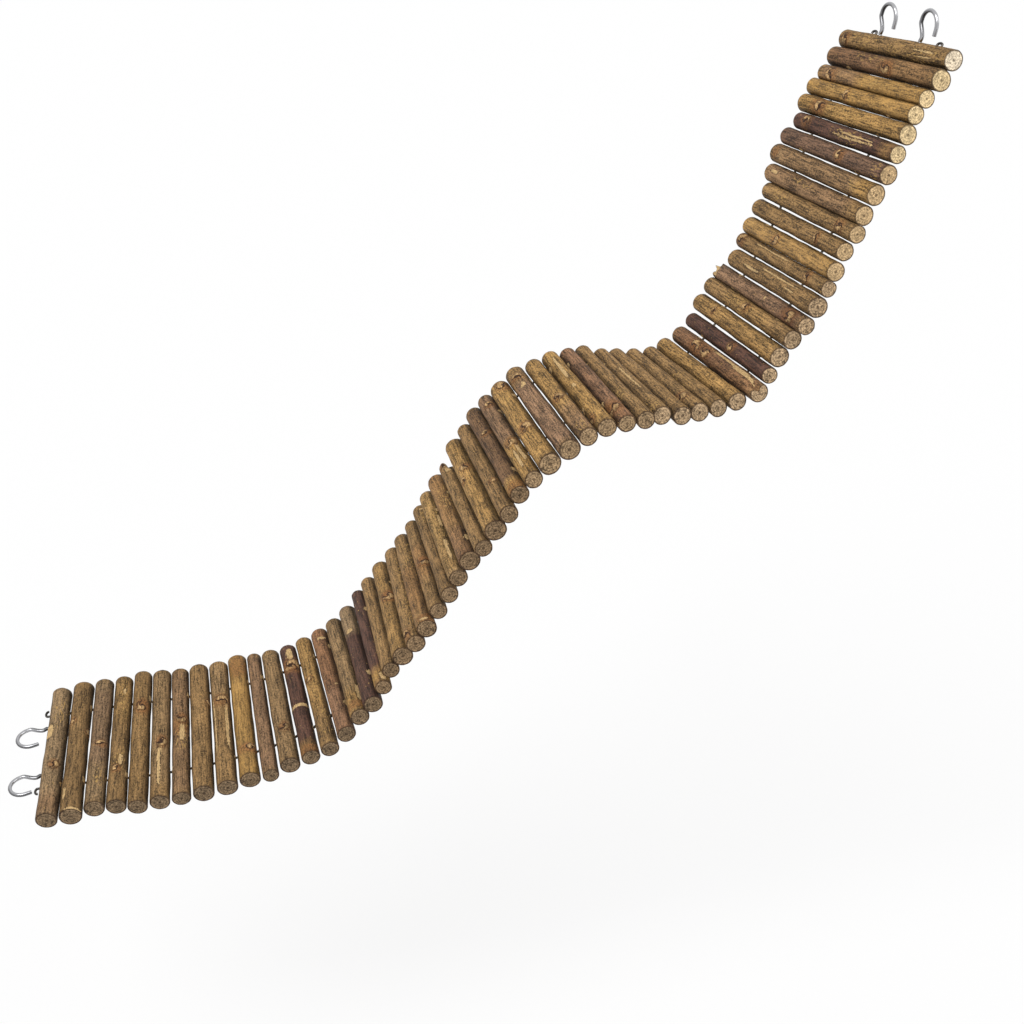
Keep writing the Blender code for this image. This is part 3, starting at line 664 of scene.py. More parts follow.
def bark_material(kind, colours):
    """Bark of one kind: long fibres, speckle, pale flecks that are partly painted glints, peels with painted
    shadow round them, rusty patches and knots, and painted shade on its sides and next to its sawn ends.
    """
    fibre_strength, speckle_strength, roughness = BARK_GRAINS[kind]
    material = bpy.data.materials.new(f"bark_{kind}")
    recipe = Recipe(material)
    between, total, product, swing = recipe.between, recipe.total, recipe.product, recipe.swing
    place = recipe.attribute("grain_place", "Vector")
    fibre = recipe.noise(place, 1300, 3, stretch=0.07)
    thread = recipe.noise(place, 3200, 2, stretch=0.16)
    speckle = recipe.noise(place, 1500, 2, 0.6, stretch=0.6)
    mottle = recipe.noise(place, 260, 3, 0.6, stretch=0.3)
    warp = recipe.math("SUBTRACT", recipe.noise(place, 520, 2), 0.5)

    light = total(swing(fibre, fibre_strength), swing(speckle, speckle_strength))
    light = total(light, total(swing(mottle, 1.1), swing(thread, 0.9)))
    light = total(product(light, recipe.attribute("coarse")), 1.0)
    light = recipe.math("MAXIMUM", light, 0.25)
    # Painted shade: the bark darkens towards its sides, where it faces the neighbouring sticks across the
    # gaps
    painted_gap_shade = between(recipe.attribute("painted_gap_shade"), 0.60, 1.0, 1.0, 0.36)
    # Painted shade: a darker rim on the bark next to each sawn end
    painted_end_shade = total(recipe.attribute("painted_end_shade"), swing(speckle, 1.2))
    light = product(light, product(painted_gap_shade, between(painted_end_shade, 0.3, 1.0, 1.0, 0.6)))
    tone = recipe.scale(recipe.attribute("tone", "Color"), light)

    ragged = total(swing(fibre, 0.8), swing(speckle, 0.7))
    rust = total(recipe.attribute("rust"), total(ragged, warp))
    rusty = recipe.scale(tuple(colours.rust), between(speckle, 0.35, 0.65, 0.45, 1.4))
    tone = recipe.mix(between(rust, 0.25, 0.85, 0.0, 0.6), tone, rusty)

    # Pale flecks all over the bark, thicker in their marks: partly real flecks, partly painted glints
    fleck_and_glint_spots = recipe.noise(place, 1500, 1, stretch=0.28)
    fleck_and_glint_spots = total(fleck_and_glint_spots, product(recipe.attribute("flecks_and_glints"), 0.14))
    tone = recipe.mix(between(fleck_and_glint_spots, 0.69, 0.79, 0.0, 0.75), tone, solid(colours.fleck))

    peel = total(recipe.attribute("peel"), product(ragged, 1.6))
    # Painted shadow: a dark rim round each peel and round the chipped bark at the wires' holes
    torn_with_shadow = between(peel, 0.28, 0.45, 0.0, 0.6)
    peel = between(peel, 0.46, 0.62, 0.0, 0.95)
    bare = recipe.scale(tuple(colours.bare), between(thread, 0.3, 0.7, 0.52, 1.15))
    tone = recipe.mix(torn_with_shadow, tone, solid(colours.scar))
    tone = recipe.mix(peel, tone, bare)

    knot = total(recipe.attribute("knot"), total(warp, ragged))
    lean = total(recipe.attribute("knot_lean"), product(warp, 1.6))
    upper = between(lean, 0.0, 0.25)
    tone = recipe.mix(between(knot, 0.70, 1.50, 0.65, 0.0), tone, rusty)
    pale = product(between(knot, 0.60, 0.85, 1.0, 0.0), upper)
    curl = recipe.scale(recipe.mix(0.30, bare, rusty), between(fibre, 0.38, 0.62, 0.45, 1.45))
    tone = recipe.mix(product(pale, 0.9), tone, curl)
    groove = recipe.math("ABSOLUTE", recipe.math("SUBTRACT", lean, GROOVE_LEAN), 0.0)
    groove = product(between(groove, 0.10, 0.34, 1.0, 0.0), between(knot, 0.75, 1.0, 1.0, 0.0))
    rim = product(between(knot, 0.72, 0.86), between(knot, 0.90, 1.08, 1.0, 0.0))
    rim = product(rim, product(upper, 0.7))
    dark = product(recipe.math("MAXIMUM", groove, rim), 0.97)
    tone = recipe.mix(dark, tone, solid(colours.scar))

    height = total(product(fibre, 0.6), product(speckle, 0.4), product(thread, 0.3))
    height = recipe.math("SUBTRACT", height, product(peel, 0.5), product(dark, 0.7))
    surface = {
        "Base Color": tone,
        "Roughness": between(speckle, 0.3, 0.7, roughness - 0.12, roughness + 0.1),
        "Specular IOR Level": BARK_SHEEN,
        "Normal": recipe.bump(height, BARK_GRAIN_DEPTH),
    }
    recipe.complete("Principled BSDF", surface)
    return material


def sawn_material(colours):
    """A sawn end: dark bark round the edge, pale wood with rings and rays, and a small pith."""
    material = bpy.data.materials.new("sawn_end")
    recipe = Recipe(material)
    between, total, product, swing = recipe.between, recipe.total, recipe.product, recipe.swing
    place = recipe.attribute("face_place", "Vector")
    far = recipe.attribute("face_radius")
    seed = recipe.attribute("stick_seed")

    def pattern(where, scale, detail=2.0, roughness=0.5, output=0):
        """Noise that differs from stick to stick."""
        inputs = {"Vector": where, "W": seed, "Scale": scale, "Detail": detail, "Roughness": roughness}
        return recipe.add("TexNoise", inputs, output, noise_dimensions="4D")

    bend = recipe.vector("SUBTRACT", pattern(place, 1.6, output="Color"), (0.5, 0.5, 0.5))
    bent_place = recipe.vector("ADD", place, recipe.scale(bend, 2.4))
    rays = pattern(recipe.add("VectorMath", {0: bent_place}, operation="NORMALIZE"), 3.6, 3.0)
    blotch = pattern(place, 3.2, 4.0, 0.65)
    speck = pattern(place, 9.0)
    rings = product(total(far, product(blotch, 0.12)), 24.0)
    rings = recipe.math("SINE", rings, 0.0)
    light = between(blotch, 0.38, 0.60, 0.72, 1.15)
    light = product(light, between(speck, 0.36, 0.50, 0.55, 1.10))
    light = product(light, between(rays, 0.40, 0.52, 0.50, 1.12))
    light = product(light, between(rings, -1.0, -0.2, 0.72, 1.06))
    worn = product(recipe.math("SUBTRACT", light, 1.0), recipe.attribute("face_wear"))
    light = recipe.math("MAXIMUM", total(worn, 1.06), 0.22)
    tone = recipe.scale(recipe.attribute("face_tone", "Color"), light)
    pith = between(total(far, product(speck, 0.1)), 0.13, 0.20, 0.65, 0.0)
    tone = recipe.mix(pith, tone, solid(colours.scar))
    edge = total(far, swing(blotch, 0.12))
    bark = between(edge, BARK_RING_SHARE - 0.04, BARK_RING_SHARE + 0.02, 0.0, 0.8)
    section = recipe.scale(tuple(colours.scar), between(speck, 0.35, 0.65, 0.8, 2.4))
    height = total(product(blotch, 0.5), product(speck, 0.5), product(rays, 0.3))
    surface = {
        "Base Color": recipe.mix(bark, tone, section),
        "Roughness": 0.85,
        "Specular IOR Level": BARK_SHEEN,
        "Normal": recipe.bump(height, SAWN_GRAIN_DEPTH),
    }
    recipe.complete("Principled BSDF", surface)
    return material


def steel_material(name, tone, roughness, scratch_scale):
    """Plated or drawn steel with fine lengthwise scratches and dull patches."""
    material = bpy.data.materials.new(name)
    recipe = Recipe(material)
    place = recipe.attribute("grain_place", "Vector")
    patches = recipe.noise(place, 420, 3)
    scratches = recipe.noise(place, scratch_scale, 2)
    surface = {
        "Base Color": recipe.scale(tuple(tone), recipe.between(patches, 0.38, 0.62, 0.25, 1.45)),
        "Roughness": recipe.between(patches, 0.3, 0.7, roughness + 0.12, roughness - 0.08),
        "Metallic": 1.0,
        "Normal": recipe.bump(scratches, SCRATCH_DEPTH, 0.6),
    }
    recipe.complete("Principled BSDF", surface)
    return material


def new_mesh(name, points, faces):
    mesh = bpy.data.meshes.new(name)
    mesh.from_pydata([tuple(point) for point in points], [], faces)
    mesh.validate()
    return mesh


def add_values(mesh, name, kind, values):
    """Stores one value for each point of a mesh, for its material to read."""
    layer = mesh.attributes.new(name, kind, "POINT")
    field = {"FLOAT": "value", "FLOAT_VECTOR": "vector", "FLOAT_COLOR": "color"}[kind]
    layer.data.foreach_set(field, np.asarray(values, np.float32).ravel())


def add_piece(name, mesh, materials, place=None):
    for material in materials:
        mesh.materials.append(material)
    piece = bpy.data.objects.new(name, mesh)
    bpy.context.scene.collection.objects.link(piece)
    if place:
        piece.matrix_world = place
    return piece


def closed_rings(rings, sides):
    """Faces of a tube of rings, without its ends."""
    faces = []
    for ring in range(rings - 1):
        low, high = ring * sides, (ring + 1) * sides
        for side in range(sides):
            after = (side + 1) % sides
            faces.append((low + side, low + after, high + after, high + side))
    return faces


def marks_on(stick, heights, angles, kinds):
    """For each mark of some kinds: how far each point lies from it, 0 in its middle and 1 on its
    edge, and how far to one side of it, -1 to 1."""
    found = []
    for order, (number, kind, along, across, long, wide) in enumerate(MARKS):
        if number != stick.number or kind not in kinds:
            continue
        middle = stick.front + along * (stick.back - stick.front)
        around = stick.way_round(angles - stick.facing - math.asin(across))
        up = (heights - middle) / (long * DIAMETER / 2)
        side = around / (wide * DIAMETER / 2)
        power = 4 if kind in ("peel", "flecks_and_glints") else 2
        far = np.sqrt(np.abs(up) ** power + side**2)
        spin = np.arctan2(side, up) - MARK_TURN * order - KNOT_CURL * far
        found.append((far, np.clip(1.5 * far, 0, 1) * np.cos(spin)))
    return found


def chips_on(stick, heights, angles, spacing, chance):
    """The same for the chipped bark round the mouths of the wires' holes. Some of them are clean."""
    found = []
    for side in (-1, 1):
        for quarter in (-1, 1):
            reach = chance.uniform(*CHIP_SIZE_SHARES) * CHIP_REACH
            around = stick.way_round(angles - quarter * math.pi / 2)
            distance = np.hypot(heights - side * spacing / 2, around) / reach
            if chance.random() < CHIP_CHANCE:
                found.append((distance, 0 * distance))
    return found


def nearest(found, shape, most):
    """The least of several distances at each point, and at most a given one, with its side."""
    distances, sides = np.full(shape, most), np.zeros(shape)
    for distance, lean in found:
        closer = distance < distances
        distances = np.where(closer, distance, distances)
        sides = np.where(closer, lean, sides)
    return distances, sides


def bell(distance, reach, power=2):
    """1 in the middle and almost none past its reach, with a flatter top for a higher power."""
    return np.exp(-((distance / reach) ** power))


def mark_rise(kind, distance, lean):
    """How far a mark stands out of the bark, in stick diameters."""
    if kind == "knot":
        groove = bell(lean - GROOVE_LEAN, 0.3) * bell(distance, 0.8, 4)
        return KNOT_RISE * (1 + 0.5 * lean) * bell(distance, 0.85) - KNOT_GROOVE * groove
    if kind == "stub":
        return STUB_RISE * bell(distance, 0.95, 6) - STUB_HOLLOW * bell(distance, 0.45, 4)
    if kind == "notch":
        return -NOTCH_DEPTH * bell(distance, 0.9, 4)
    return PEEL_LIP * bell(distance - 1.1, 0.3) - PEEL_DEPTH * bell(distance, 0.9, 4)


def bark_relief(stick, looks, heights, angles, chance):
    """Radius of the bark at every ring and side: lumps, ridges, knots, a branch stub and peels."""
    shares = stick.shares(heights)
    taper = stick.radii[0] + (stick.radii[1] - stick.radii[0]) * shares
    radius = taper * looks.plump * np.ones_like(angles)
    for waves in SWELL_WAVES:
        turns = chance.choice(SWELL_TURNS)
        phase = chance.uniform(0, 2 * math.pi)
        swell = np.sin(2 * math.pi * waves * shares + turns * angles + phase)
        radius = radius * (1 + looks.lump / waves**0.5 * swell)
    ridges = np.zeros_like(radius)
    offset = Vector((stick.number, 0, 0))
    for ring, height in enumerate(heights[:, 0]):
        up = height / DIAMETER * RIDGE_ALONG
        for side, turn in enumerate(angles[0]):
            spot = Vector((math.sin(turn) * RIDGE_ROUND, up, math.cos(turn) * RIDGE_ROUND))
            ridges[ring, side] = noise.noise(spot + offset)
    radius = radius + looks.ridge * ridges
    for kind in ("knot", "stub", "notch", "peel"):
        for distance, lean in marks_on(stick, heights, angles, (kind,)):
            radius = radius + DIAMETER * mark_rise(kind, distance, lean)
    return radius


def keep_clear(stick, heights, angles, bow, radius):
    """Trims the bark where it would touch a neighbour's, at rest or where their bend is at a limit."""
    lines = neighbour_lines(stick)
    for _ in range(TRIM_ROUNDS):
        across, out = np.sin(angles) * radius, np.cos(angles) * radius + bow
        fleck_and_glint_spots = stick.centre + across[..., None] * stick.x + out[..., None] * stick.z
        fleck_and_glint_spots = fleck_and_glint_spots + heights[..., None] * stick.y
        own = np.hypot(across, out) - stick.radius
        over = np.zeros_like(radius)
        for start, along, other_radius in lines:
            away = fleck_and_glint_spots - start
            away = away - (away @ along)[..., None] * along
            room = np.linalg.norm(away, axis=-1) - other_radius
            over = np.maximum(over, own - room + BARK_GAP)
        radius = radius - over / 2
    return radius


def bark_side(stick, looks, heights, angles, chance):
    """Points of the barked side by ring and side, in the stick's own directions, with leaning ends."""
    radius = bark_relief(stick, looks, heights, angles, chance)
    radius[[0, -1]] -= looks.chamfer
    bow = chance.uniform(-1, 1) * looks.bow * np.sin(math.pi * stick.shares(heights))
    radius = keep_clear(stick, heights, angles, bow, radius)
    points = np.zeros((*radius.shape, 3))
    points[..., 0] = np.sin(angles) * radius
    points[..., 1] = heights
    points[..., 2] = np.cos(angles) * radius + bow
    for rows in ((0, 1), (-1, -2)):
        lean = [chance.uniform(-looks.tilt, looks.tilt) for _ in range(2)]
        for row in rows:
            points[row, :, 1] += lean[0] * points[row, :, 0] + lean[1] * points[row, :, 2]
    return points


def close_ends(points, saw, chance):
    """All corners and faces of a stick with both sawn ends, and each corner's share of the radius."""
    rings, sides = points.shape[:2]
    count = rings * sides
    corners, far = [points.reshape(-1, 3)], [np.ones(count)]
    faces = closed_rings(rings, sides)
    for ring, turned in ((0, 1), (rings - 1, -1)):
        edge = points[ring]
        middle = edge.mean(0)
        outer = ring * sides
        for share in CUT_RING_SHARES:
            inner = middle + (edge - middle) * share
            inner[:, 1] += [chance.uniform(-saw, saw) for _ in range(sides)]
            corners.append(inner)
            far.append(np.full(sides, share))
            for side in range(sides):
                after = (side + 1) % sides
                faces.append((outer + side, count + side, count + after, outer + after)[::turned])
            outer = count
            count += sides
        corners.append(middle[None, :])
        far.append(np.zeros(1))
        for side in range(sides):
            faces.append((outer + side, count, outer + (side + 1) % sides)[::turned])
        count += 1
    return np.vstack(corners), faces, np.concatenate(far)


def bark_tone(stick, colours, heights, angles, chance):
    """Colour of the bark at every point: the stick's own, its stretches of another, and slow drifts."""
    shares = stick.shares(heights)
    shape = np.broadcast(heights, angles).shape
    tone = np.ones(shape + (1,)) * np.array(getattr(colours, stick.bark))
    for number, name, start, end, strength in ZONES:
        if number != stick.number:
            continue
        inside = np.clip((shares - start) / ZONE_SOFTNESS + 0.5, 0, 1)
        inside = inside * np.clip((end - shares) / ZONE_SOFTNESS + 0.5, 0, 1)
        inside = np.broadcast_to(inside * strength, shape)[..., None]
        tone = tone * (1 - inside) + np.array(getattr(colours, name)) * inside
    drift = 1 + DRIFT * np.sin(2 * math.pi * (shares * DRIFT_WAVES + chance.random()) + angles)
    bright = chance.uniform(*BARK_BRIGHT_RANGE) * along_bridge(stick.number, BRIGHT_SHARES)
    return tone * (drift * bright)[..., None]


def add_bark_values(mesh, stick, corners, heights, angles, spacing, chance):
    """What the bark's material reads at each point. A sawn end's inner points get plain values."""
    shape = np.broadcast(heights, angles).shape
    count = len(corners)

    def spread(name, values, fill):
        inner = np.full(count - shape[0] * shape[1], fill)
        add_values(mesh, name, "FLOAT", np.concatenate([np.broadcast_to(values, shape).ravel(), inner]))

    def mark(most, *kinds):
        return nearest(marks_on(stick, heights, angles, kinds), shape, most)

    def depth(found, most):
        return np.clip(most - found, 0, 1)

    knot, lean = mark(KNOT_REACH, "knot", "stub")
    # The peels and chips, which get bare wood and a painted shadow round them
    torn_with_shadow = marks_on(stick, heights, angles, ("peel",))
    torn_with_shadow = torn_with_shadow + chips_on(stick, heights, angles, spacing, chance)
    # Painted shade on the two rings of bark next to each sawn end
    painted_end_shade = np.zeros(shape)
    painted_end_shade[[0, 1, -2, -1]] = 1
    spread("painted_end_shade", painted_end_shade, 1.0)
    spread("knot", knot, KNOT_REACH)
    spread("knot_lean", lean, 0.0)
    spread("peel", depth(nearest(torn_with_shadow, shape, PATCH_REACH)[0], PATCH_REACH), 0.0)
    # Where the pale flecks and painted glints gather
    spread("flecks_and_glints", depth(mark(FLECK_AND_GLINT_REACH, "flecks_and_glints")[0], FLECK_AND_GLINT_REACH), 0.0)
    spread("rust", depth(mark(PATCH_REACH, "rust")[0], PATCH_REACH), 0.0)
    add_values(mesh, "coarse", "FLOAT", np.full(count, along_bridge(stick.number, COARSE_SHARES)))
    # Painted shade: how far each point lies round to the side that faces a neighbouring stick
    spread("painted_gap_shade", np.abs(np.sin(angles)), 0.0)
    add_values(mesh, "grain_place", "FLOAT_VECTOR", corners + stick.number * np.array(GRAIN_STEP))


def add_face_values(mesh, stick, colours, corners, far, chance):
    """What the sawn ends' material reads at each point."""
    count = len(corners)
    wood = next(name for last, name in FACE_STRETCHES if stick.number <= last)
    wear = SAWN_CONTRAST * (FRESH_WEAR if wood in FRESH_WOODS else 1.0)
    face = np.array(getattr(colours, wood + "_end")) * chance.uniform(*FACE_BRIGHT_RANGE)
    add_values(mesh, "face_wear", "FLOAT", np.full(count, wear))
    add_values(mesh, "face_tone", "FLOAT_COLOR", np.tile((*face, 1), (count, 1)))
    add_values(mesh, "face_place", "FLOAT_VECTOR", corners * (1, 0, 1) / stick.radius)
    add_values(mesh, "face_radius", "FLOAT", far)
    add_values(mesh, "stick_seed", "FLOAT", np.full(count, stick.number * FACE_STEP))


def branch_mesh(stick, looks, colours, spacing):
    """One branch stick in its own directions: barked side, worn edges and two sawn ends."""
    chance = random.Random(SEED * 1000 + stick.number)
    body = np.linspace(stick.front + looks.chamfer, stick.back - looks.chamfer, looks.rings)
    heights = np.concatenate([[stick.front], body, [stick.back]])[:, None]
    angles = (np.arange(looks.sides) * 2 * math.pi / looks.sides)[None, :]
    points = bark_side(stick, looks, heights, angles, chance)
    corners, faces, far = close_ends(points, looks.saw, chance)
    mesh = new_mesh(f"branch_{stick.number:02d}", corners, faces)
    slots = np.ones(len(faces), np.int32)
    slots[: (len(heights) - 1) * looks.sides] = 0
    mesh.polygons.foreach_set("material_index", slots)
    mesh.shade_smooth()
    mesh.set_sharp_from_angle(angle=SHARP_STICK_EDGE)

    add_bark_values(mesh, stick, corners, heights, angles, spacing, chance)
    tone = bark_tone(stick, colours, heights, angles, chance).reshape(-1, 3)
    tone = np.vstack([tone, np.tile(tone[:1], (len(corners) - len(tone), 1))])
    add_values(mesh, "tone", "FLOAT_COLOR", np.column_stack([tone, np.ones(len(tone))]))
    add_face_values(mesh, stick, colours, corners, far, chance)
    return mesh


def smooth_path(points, steps):
    """Points on a smooth curve through given ones, with some steps from each to the next."""
    path = []
    last = len(points) - 1
    for i in range(last):
        before, start, end, after = (points[min(max(k, 0), last)] for k in (i - 1, i, i + 1, i + 2))
        for step in range(steps):
            t = step / steps
            bend = (end - before) * t + (2 * before - 5 * start + 4 * end - after) * t**2
            bend += (3 * start - before - 3 * end + after) * t**3
            path.append(start + bend / 2)
    return path + [points[-1]]


def tube_mesh(name, path, rows):
    """A closed tube along a path. rows holds the radii of each ring, one for each side."""
    last, sides = len(path) - 1, len(rows[0])
    ahead = [(path[min(i + 1, last)] - path[max(i - 1, 0)]).normalized() for i in range(last + 1)]
    across = ahead[0].orthogonal().normalized()
    points, along, distance = [], [], 0.0
    for i, (spot, direction) in enumerate(zip(path, ahead)):
        across = (across - direction * across.dot(direction)).normalized()
        other = direction.cross(across)
        distance += (spot - path[max(i - 1, 0)]).length
        for side, reach in enumerate(rows[i]):
            turn = 2 * math.pi * side / sides
            points.append(spot + (across * math.cos(turn) + other * math.sin(turn)) * reach)
            along.append((math.cos(turn) * reach, distance * SCRATCH_SHARE, math.sin(turn) * reach))
    faces = closed_rings(len(path), sides)
    for ring, order in ((0, -1), (last, 1)):
        points.append(path[ring] + ahead[ring] * order * WIRE_BULGE_SHARE * min(rows[ring]))
        along.append((0.0, 0.0, 0.0))
        for side in range(sides):
            corner = (ring * sides + side, ring * sides + (side + 1) % sides, len(points) - 1)
            faces.append(corner[::order])
    mesh = new_mesh(name, points, faces)
    mesh.shade_smooth()
    mesh.set_sharp_from_angle(angle=SHARP_WIRE_EDGE)
    add_values(mesh, "grain_place", "FLOAT_VECTOR", along)
    return mesh


def plain_wire(name, points, steps, sides, diameter, steel):
    """A wire of one thickness, smoothly through given points."""
    path = smooth_path(points, steps)
    return add_piece(name, tube_mesh(name, path, [[diameter / 2] * sides] * len(path)), (steel,))


def curl_points(stick, side, outward, hardware):
    """A wire's end from the middle of its end stick, out and bent over sideways."""
    start = side * hardware.wire_spacing / 2
    points = [stick.point(0, start, 0), stick.point(outward * stick.radius, start, 0)]
    for step in range(CURL_POINTS + 1):
        turn = math.pi * step / CURL_POINTS
        out = stick.radius + hardware.wire + (hardware.curl_height - hardware.wire / 2) * math.sin(turn)
        along = start + side * hardware.curl_width / 2 * (1 - math.cos(turn))
        points.append(stick.point(outward * out, along, 0))
    out = stick.radius + hardware.wire * CURL_TIP_SHARE
    points.append(stick.point(outward * out, start + side * hardware.curl_width, 0))
    return points


def hook_points(stick, side, outward, hardware):
    """A screw hook's line: screw in the wood, swayed stem, round bow open to the front, short tip."""
    line = [(stick.radius - hardware.screw * share, 0.0) for share in SCREW_SHARES]
    for place, sway in STEM_SHARES:
        line.append((stick.radius + hardware.stem * place, -hardware.sway * sway))
    for step in range(BOW_POINTS + 1):
        turn = hardware.sweep * step / BOW_POINTS
        out = stick.radius + hardware.stem + hardware.bow * math.sin(turn)
        line.append((out, hardware.sway - hardware.bow * (1 - math.cos(turn))))
    out, along = line[-1]
    out += hardware.tip * math.cos(hardware.sweep)
    along -= hardware.tip * math.sin(hardware.sweep)
    line.append((out, along))
    middle = side * hardware.hook_spacing / 2
    lean = hardware.upper_lean if outward > 0 else 0.0
    points = []
    for out, along in line:
        points.append(stick.point(outward * out * math.cos(lean), middle + along, out * math.sin(lean)))
    return points


def hook_mesh(name, points, hardware):
    """A hook's wire, with a thread cut on its screw."""
    path = smooth_path(points, HOOK_STEPS)
    radius = hardware.hook_wire / 2
    rows, distance = [], 0.0
    for i, spot in enumerate(path):
        distance += (spot - path[max(i - 1, 0)]).length
        row = [radius] * HOOK_SIDES
        if distance <= hardware.screw * THREAD_SHARE:
            turns = distance / hardware.pitch
            for side in range(HOOK_SIDES):
                row[side] -= hardware.thread * abs(2 * ((turns + side / HOOK_SIDES) % 1) - 1)
        rows.append(row)
    return tube_mesh(name, path, rows)


def background_rays(recipe):
    """1 for rays that show the background itself: straight to the camera, mirrored or seen through."""
    path = recipe.nodes.new("ShaderNodeLightPath")
    kinds = ("Is Camera Ray", "Is Glossy Ray", "Is Transmission Ray")
    return recipe.math("MAXIMUM", *(path.outputs[kind] for kind in kinds))


# The two wires and the two hooks of an end stick, by side, and the two end sticks, by the
# direction along the deck that leads out of it
SIDES = ((-1, "front"), (1, "back"))
ENDS = ((1, "lower", -1), (len(STICKS), "upper", 1))


class BRIDGE_OT_sticks(Operator):
    """Model the branch sticks in their bark"""

    bl_idname = "bridge.sticks"
    bl_label = "Branch sticks"

    def execute(self, context):
        scene = context.scene
        colours = scene.bridge_colours
        spacing = scene.bridge_hardware.wire_spacing
        barks = {kind: bark_material(kind, colours) for kind in BARK_GRAINS}
        sawn = sawn_material(colours)
        for number in sorted(STICKS):
            stick = STICKS[number]
            stick.show_marks_to(scene.bridge_stage.camera)
            mesh = branch_mesh(stick, scene.bridge_sticks, colours, spacing)
            branch = add_piece(f"branch_{number:02d}", mesh, (barks[stick.bark], sawn), stick.place())
            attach(branch, stick.body)
            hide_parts(stick.node)
        return {"FINISHED"}


class BRIDGE_OT_wires(Operator):
    """Model the two long wires, one length for each gap, and their bent-over ends"""

    bl_idname = "bridge.wires"
    bl_label = "Long wires"

    def execute(self, context):
        hardware = context.scene.bridge_hardware
        steel = steel_material("drawn_wire", hardware.drawn, 0.42, 2500)
        for side, name in SIDES:
            for number in range(1, len(STICKS)):
                self.add_length(hardware, steel, side, name, number)
            for number, end, outward in ENDS:
                stick = STICKS[number]
                points = curl_points(stick, side, outward, hardware)
                label = f"wire_{name}_{end}_end"
                piece = plain_wire(label, points, END_STEPS, END_SIDES, hardware.wire, steel)
                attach(piece, stick.body)
        return {"FINISHED"}

    def add_length(self, hardware, steel, side, name, number):
        """One length from the middle of a stick to the middle of the next one up."""
        lower, upper = STICKS[number], STICKS[number + 1]
        offset = side * hardware.wire_spacing / 2
        start, end = lower.point(lower.radius, offset, 0), upper.point(-upper.radius, offset, 0)
        points = [lower.point(0, offset, 0), start, end, upper.point(0, offset, 0)]
        label = f"wire_{name}_{number:02d}"
        piece = plain_wire(label, points, WIRE_STEPS, WIRE_SIDES, hardware.wire, steel)
        if lower.body == upper.body:
            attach(piece, lower.body)
        else:
            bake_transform(piece)
        if number == 1:
            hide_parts(f"wire_{name}")


class BRIDGE_OT_hooks(Operator):
    """Model the screw hooks in the two end sticks"""

    bl_idname = "bridge.hooks"
    bl_label = "Screw hooks"

    def execute(self, context):
        hardware = context.scene.bridge_hardware
        steel = steel_material("zinc_plate", hardware.steel, 0.24, 900)
        for number, end, outward in ENDS:
            stick = STICKS[number]
            for side, name in SIDES:
                points = hook_points(stick, side, outward, hardware)
                mesh = hook_mesh(f"screw_hook_{end}_{name}", points, hardware)
                hook = add_piece(mesh.name, mesh, (steel,))
                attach(hook, stick.body)
                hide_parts(f"hook_{end}_{name}")
        return {"FINISHED"}


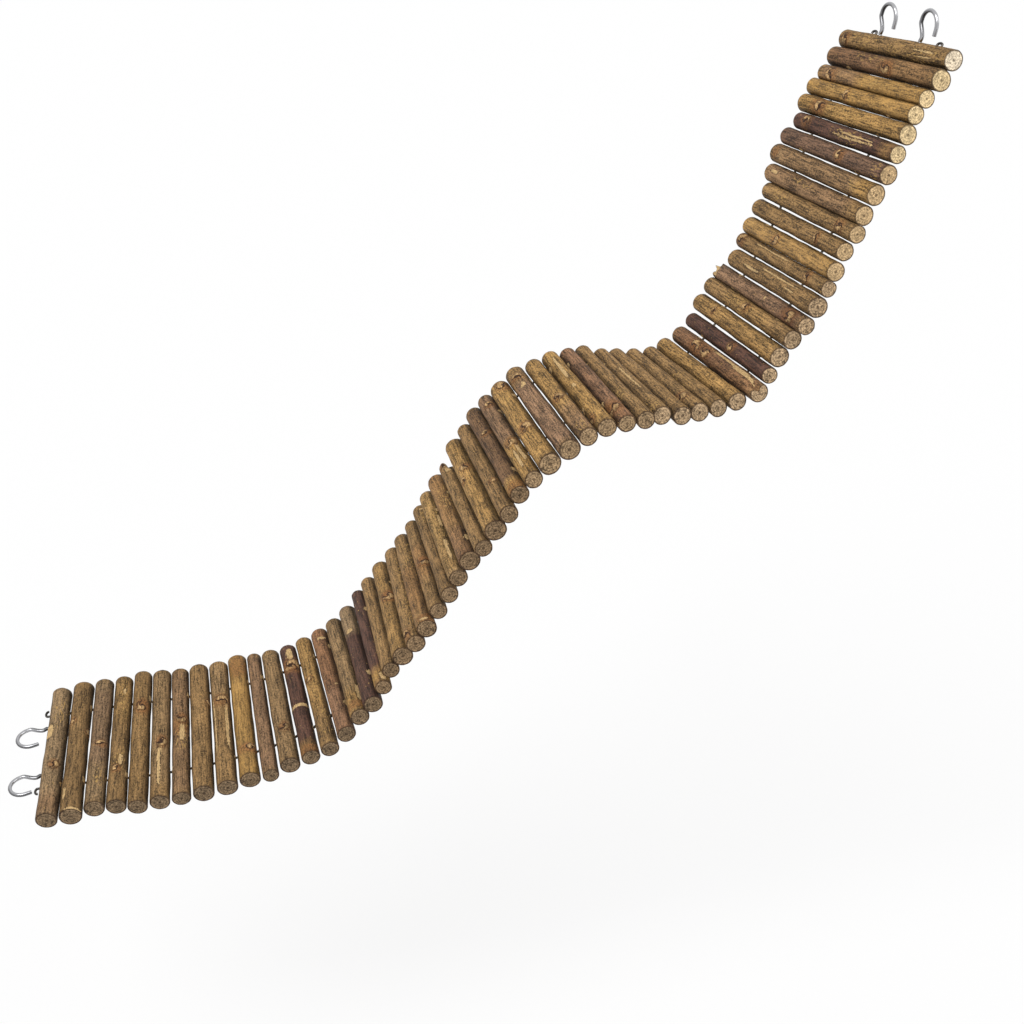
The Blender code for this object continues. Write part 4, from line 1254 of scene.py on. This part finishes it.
class BRIDGE_OT_stage(Operator):
    """Set up the pale floor, the soft lamps and the camera"""

    bl_idname = "bridge.stage"
    bl_label = "Stage"

    def execute(self, context):
        scene, stage = context.scene, context.scene.bridge_stage
        self.add_floor(stage)
        self.add_sky(scene, stage)
        self.add_lamp("main_lamp", stage.key, MAIN_LAMP_TURN)
        self.add_lamp("second_lamp", stage.fill, SECOND_LAMP_TURN)
        self.add_camera(scene, stage)
        scene.view_settings.view_transform = "Standard"
        return {"FINISHED"}

    def add_floor(self, stage):
        low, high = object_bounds()
        middle, half = (low + high) / 2, stage.floor / 2
        corners = []
        for x, y in ((-1, -1), (1, -1), (1, 1), (-1, 1)):
            corners.append((middle.x + x * half, middle.y + y * half, low.z - stage.drop))
        material = bpy.data.materials.new("pale_floor")
        recipe = Recipe(material)
        grey = solid([FLOOR_GREY] * 3)
        recipe.complete("Principled BSDF", {"Base Color": grey, "Roughness": FLOOR_ROUGHNESS})
        glow = recipe.add("Emission", {"Color": (1, 1, 1, 1), "Strength": 1.0})
        share = recipe.product(background_rays(recipe), 1 - stage.shadow)
        shaded = recipe.nodes["Principled BSDF"].outputs[0]
        mixed = recipe.add("MixShader", {0: share, 1: shaded, 2: glow})
        recipe.complete("Material Output", {"Surface": mixed})
        floor = add_piece("floor", new_mesh("floor", corners, [(0, 1, 2, 3)]), (material,))
        floor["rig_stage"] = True

    def add_sky(self, scene, stage):
        scene.world = bpy.data.worlds.new("pale_sky")
        recipe = Recipe(scene.world)
        share = recipe.product(background_rays(recipe), 1 - stage.sky)
        strength = recipe.total(share, stage.sky)
        recipe.complete("Background", {"Color": (1, 1, 1, 1), "Strength": strength})

    def add_lamp(self, name, strength, degrees):
        data = bpy.data.lights.new(name, "SUN")
        data.energy = strength
        data.angle = LAMP_WIDTH
        lamp = bpy.data.objects.new(name, data)
        bpy.context.scene.collection.objects.link(lamp)
        lamp.rotation_euler = [math.radians(turn) for turn in degrees]

    def add_camera(self, scene, stage):
        data = bpy.data.cameras.new("camera")
        data.lens = stage.lens
        data.sensor_width = SENSOR_WIDTH
        camera = bpy.data.objects.new("camera", data)
        scene.collection.objects.link(camera)
        camera.location = stage.camera
        camera.rotation_euler = (math.radians(90) - stage.tilt, 0, 0)
        scene.camera = camera


class VIEW3D_PT_bridge(Panel):
    """Sizes, colours and buttons of the pet bridge"""

    bl_label = "Pet bridge"
    bl_space_type = "VIEW_3D"
    bl_region_type = "UI"
    bl_category = "Pet bridge"

    def draw(self, context):
        for name, (group, operators) in SETTINGS.items():
            box = self.layout.box()
            for setting in group.bl_rna.properties.keys():
                if setting not in ("rna_type", "name"):
                    box.prop(getattr(context.scene, name), setting)
            for operator in operators:
                box.operator(operator)


# Each group of settings under its name in the scene, with the buttons that go with it in the panel
SETTINGS = {
    "bridge_colours": (BridgeColours, ()),
    "bridge_sticks": (BridgeSticks, ("bridge.sticks",)),
    "bridge_hardware": (BridgeHardware, ("bridge.wires", "bridge.hooks")),
    "bridge_stage": (BridgeStage, ("bridge.stage",)),
}
CLASSES = (
    BridgeColours,
    BridgeSticks,
    BridgeHardware,
    BridgeStage,
    BRIDGE_OT_sticks,
    BRIDGE_OT_wires,
    BRIDGE_OT_hooks,
    BRIDGE_OT_stage,
    VIEW3D_PT_bridge,
)


def register():
    for cls in CLASSES:
        bpy.utils.register_class(cls)
    for name, (group, _) in SETTINGS.items():
        setattr(bpy.types.Scene, name, PointerProperty(type=group))


def unregister():
    for name in SETTINGS:
        delattr(bpy.types.Scene, name)
    for cls in reversed(CLASSES):
        bpy.utils.unregister_class(cls)


def main():
    register()
    bpy.ops.bridge.sticks()
    bpy.ops.bridge.wires()
    bpy.ops.bridge.hooks()
    bpy.ops.bridge.stage()


if __name__ == "__main__":
    main()
